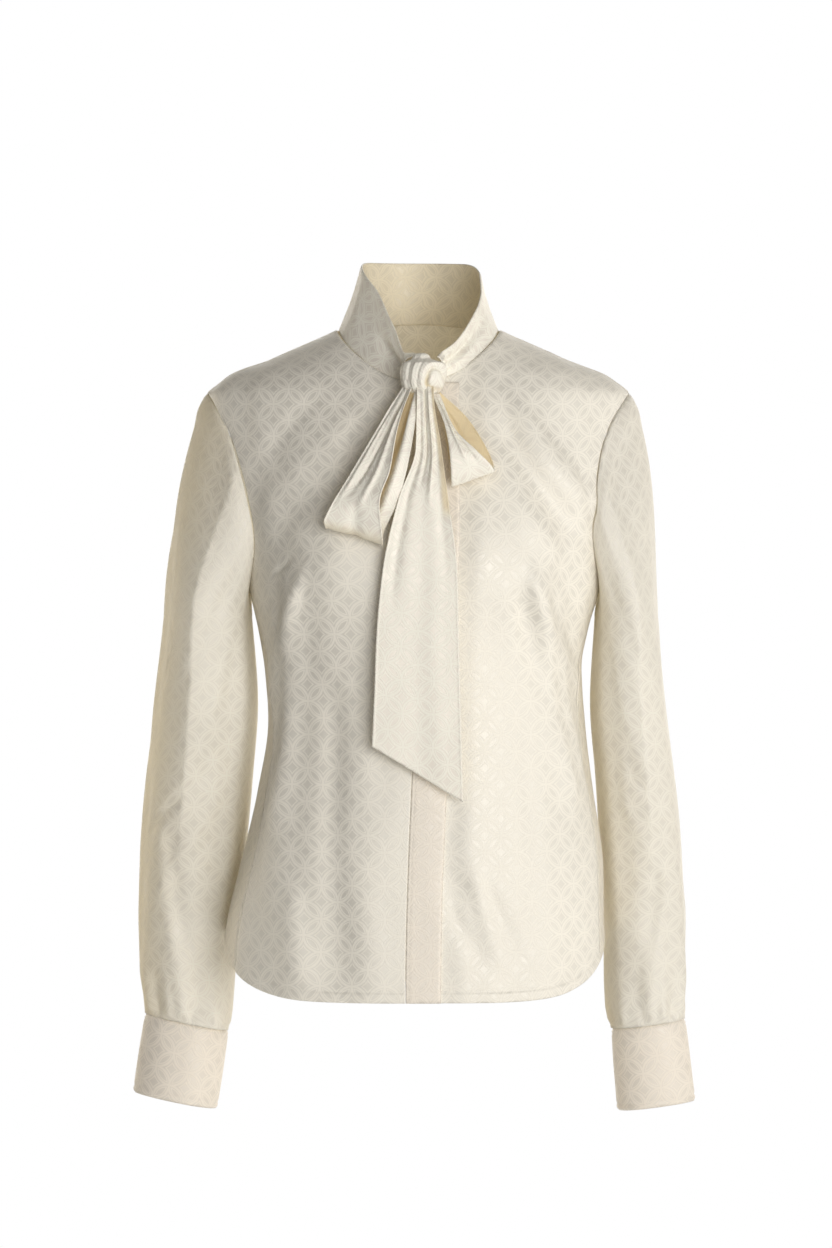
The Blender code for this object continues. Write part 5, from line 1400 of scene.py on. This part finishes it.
def add_light(name, place, aim, size, power, colour=(1.0, 1.0, 1.0)):
    """Rectangular soft box at a place, turned to its aim."""
    data = bpy.data.lights.new(name, "AREA")
    data.shape = "RECTANGLE"
    data.size = size[0]
    data.size_y = size[1]
    data.energy = power
    data.color = colour
    light = bpy.data.objects.new(name, data)
    light.location = place
    way = np.array(aim, float) - np.array(place, float)
    way = way / np.linalg.norm(way)
    pitch = np.arccos(-way[2])
    light.rotation_euler = (pitch, 0.0, np.arctan2(way[1], way[0]) - np.pi / 2.0)
    bpy.context.scene.collection.objects.link(light)


# Brightness of the studio in front, left and right, its share overhead, what is added behind
WORLD_FRONT = (0.16, 0.86)
WORLD_OVERHEAD = 0.38
WORLD_BACK = 0.34


def set_world():
    """White studio, brightest behind, dim in front on the left side."""
    world = bpy.data.worlds.new("studio")
    bpy.context.scene.world = world
    world.use_nodes = True
    tree = world.node_tree
    tree.nodes.clear()
    place = tree.nodes.new("ShaderNodeTexCoord")
    split = tree.nodes.new("ShaderNodeSeparateXYZ")
    tree.links.new(place.outputs["Generated"], split.inputs[0])

    def rise(socket, low, high, dim, bright):
        node = tree.nodes.new("ShaderNodeMapRange")
        node.interpolation_type = "SMOOTHSTEP"
        for index, value in enumerate((low, high, dim, bright), start=1):
            node.inputs[index].default_value = value
        tree.links.new(socket, node.inputs[0])
        return node.outputs[0]

    ahead = rise(split.outputs[0], -0.50, 0.42, *WORLD_FRONT)
    behind = rise(split.outputs[1], 0.20, 0.75, 0.0, WORLD_BACK)
    overhead = rise(split.outputs[2], 0.0, 0.55, 1.0, WORLD_OVERHEAD)
    lowered = tree.nodes.new("ShaderNodeMath")
    lowered.operation = "MULTIPLY"
    tree.links.new(ahead, lowered.inputs[0])
    tree.links.new(overhead, lowered.inputs[1])
    total = tree.nodes.new("ShaderNodeMath")
    tree.links.new(lowered.outputs[0], total.inputs[0])
    tree.links.new(behind, total.inputs[1])
    lighting = tree.nodes.new("ShaderNodeBackground")
    tree.links.new(total.outputs[0], lighting.inputs["Strength"])
    seen = tree.nodes.new("ShaderNodeBackground")
    seen.inputs["Strength"].default_value = 1.0
    lighting.inputs["Color"].default_value = (1.0, 0.965, 0.905, 1.0)
    seen.inputs["Color"].default_value = (1.0, 1.0, 1.0, 1.0)
    ray = tree.nodes.new("ShaderNodeLightPath")
    mix = tree.nodes.new("ShaderNodeMixShader")
    tree.links.new(ray.outputs["Is Camera Ray"], mix.inputs[0])
    tree.links.new(lighting.outputs[0], mix.inputs[1])
    tree.links.new(seen.outputs[0], mix.inputs[2])
    out = tree.nodes.new("ShaderNodeOutputWorld")
    tree.links.new(mix.outputs[0], out.inputs[0])


CAMERA_PLACE = (-0.00184, -4.0, -0.25668)
SENSOR_WIDTH = 36.0
# Height of the frame in the blouse's own plane
FRAME_HEIGHT = 1248 * 0.00092


def set_camera():
    """Level camera in front, at the photograph's viewing angle."""
    data = bpy.data.cameras.new("camera")
    data.sensor_width = SENSOR_WIDTH
    data.lens = SENSOR_WIDTH * -CAMERA_PLACE[1] / FRAME_HEIGHT
    data.clip_end = 50.0
    camera = bpy.data.objects.new("camera", data)
    camera.location = CAMERA_PLACE
    camera.rotation_euler = (np.pi / 2.0, 0.0, 0.0)
    bpy.context.scene.collection.objects.link(camera)
    bpy.context.scene.camera = camera


make_floor()
set_world()
set_camera()
add_light("key", (1.15, -2.90, -0.20), (0.05, 0.0, -0.35), (1.8, 1.8), 50.0)
add_light("backdrop left", (-0.9, 2.0, 0.2), (-0.10, 0.0, -0.35), (1.2, 2.0), 18.0)
add_light("backdrop right", (0.9, 2.0, 0.2), (0.10, 0.0, -0.35), (1.2, 2.0), 18.0)
add_light("left edge", (-1.60, 0.80, -0.20), (-0.25, 0.0, -0.35), (0.6, 1.4), 11.0,
          (1.0, 0.93, 0.80))
bpy.context.scene.view_settings.view_transform = "Standard"
bpy.context.scene.view_settings.look = "None"
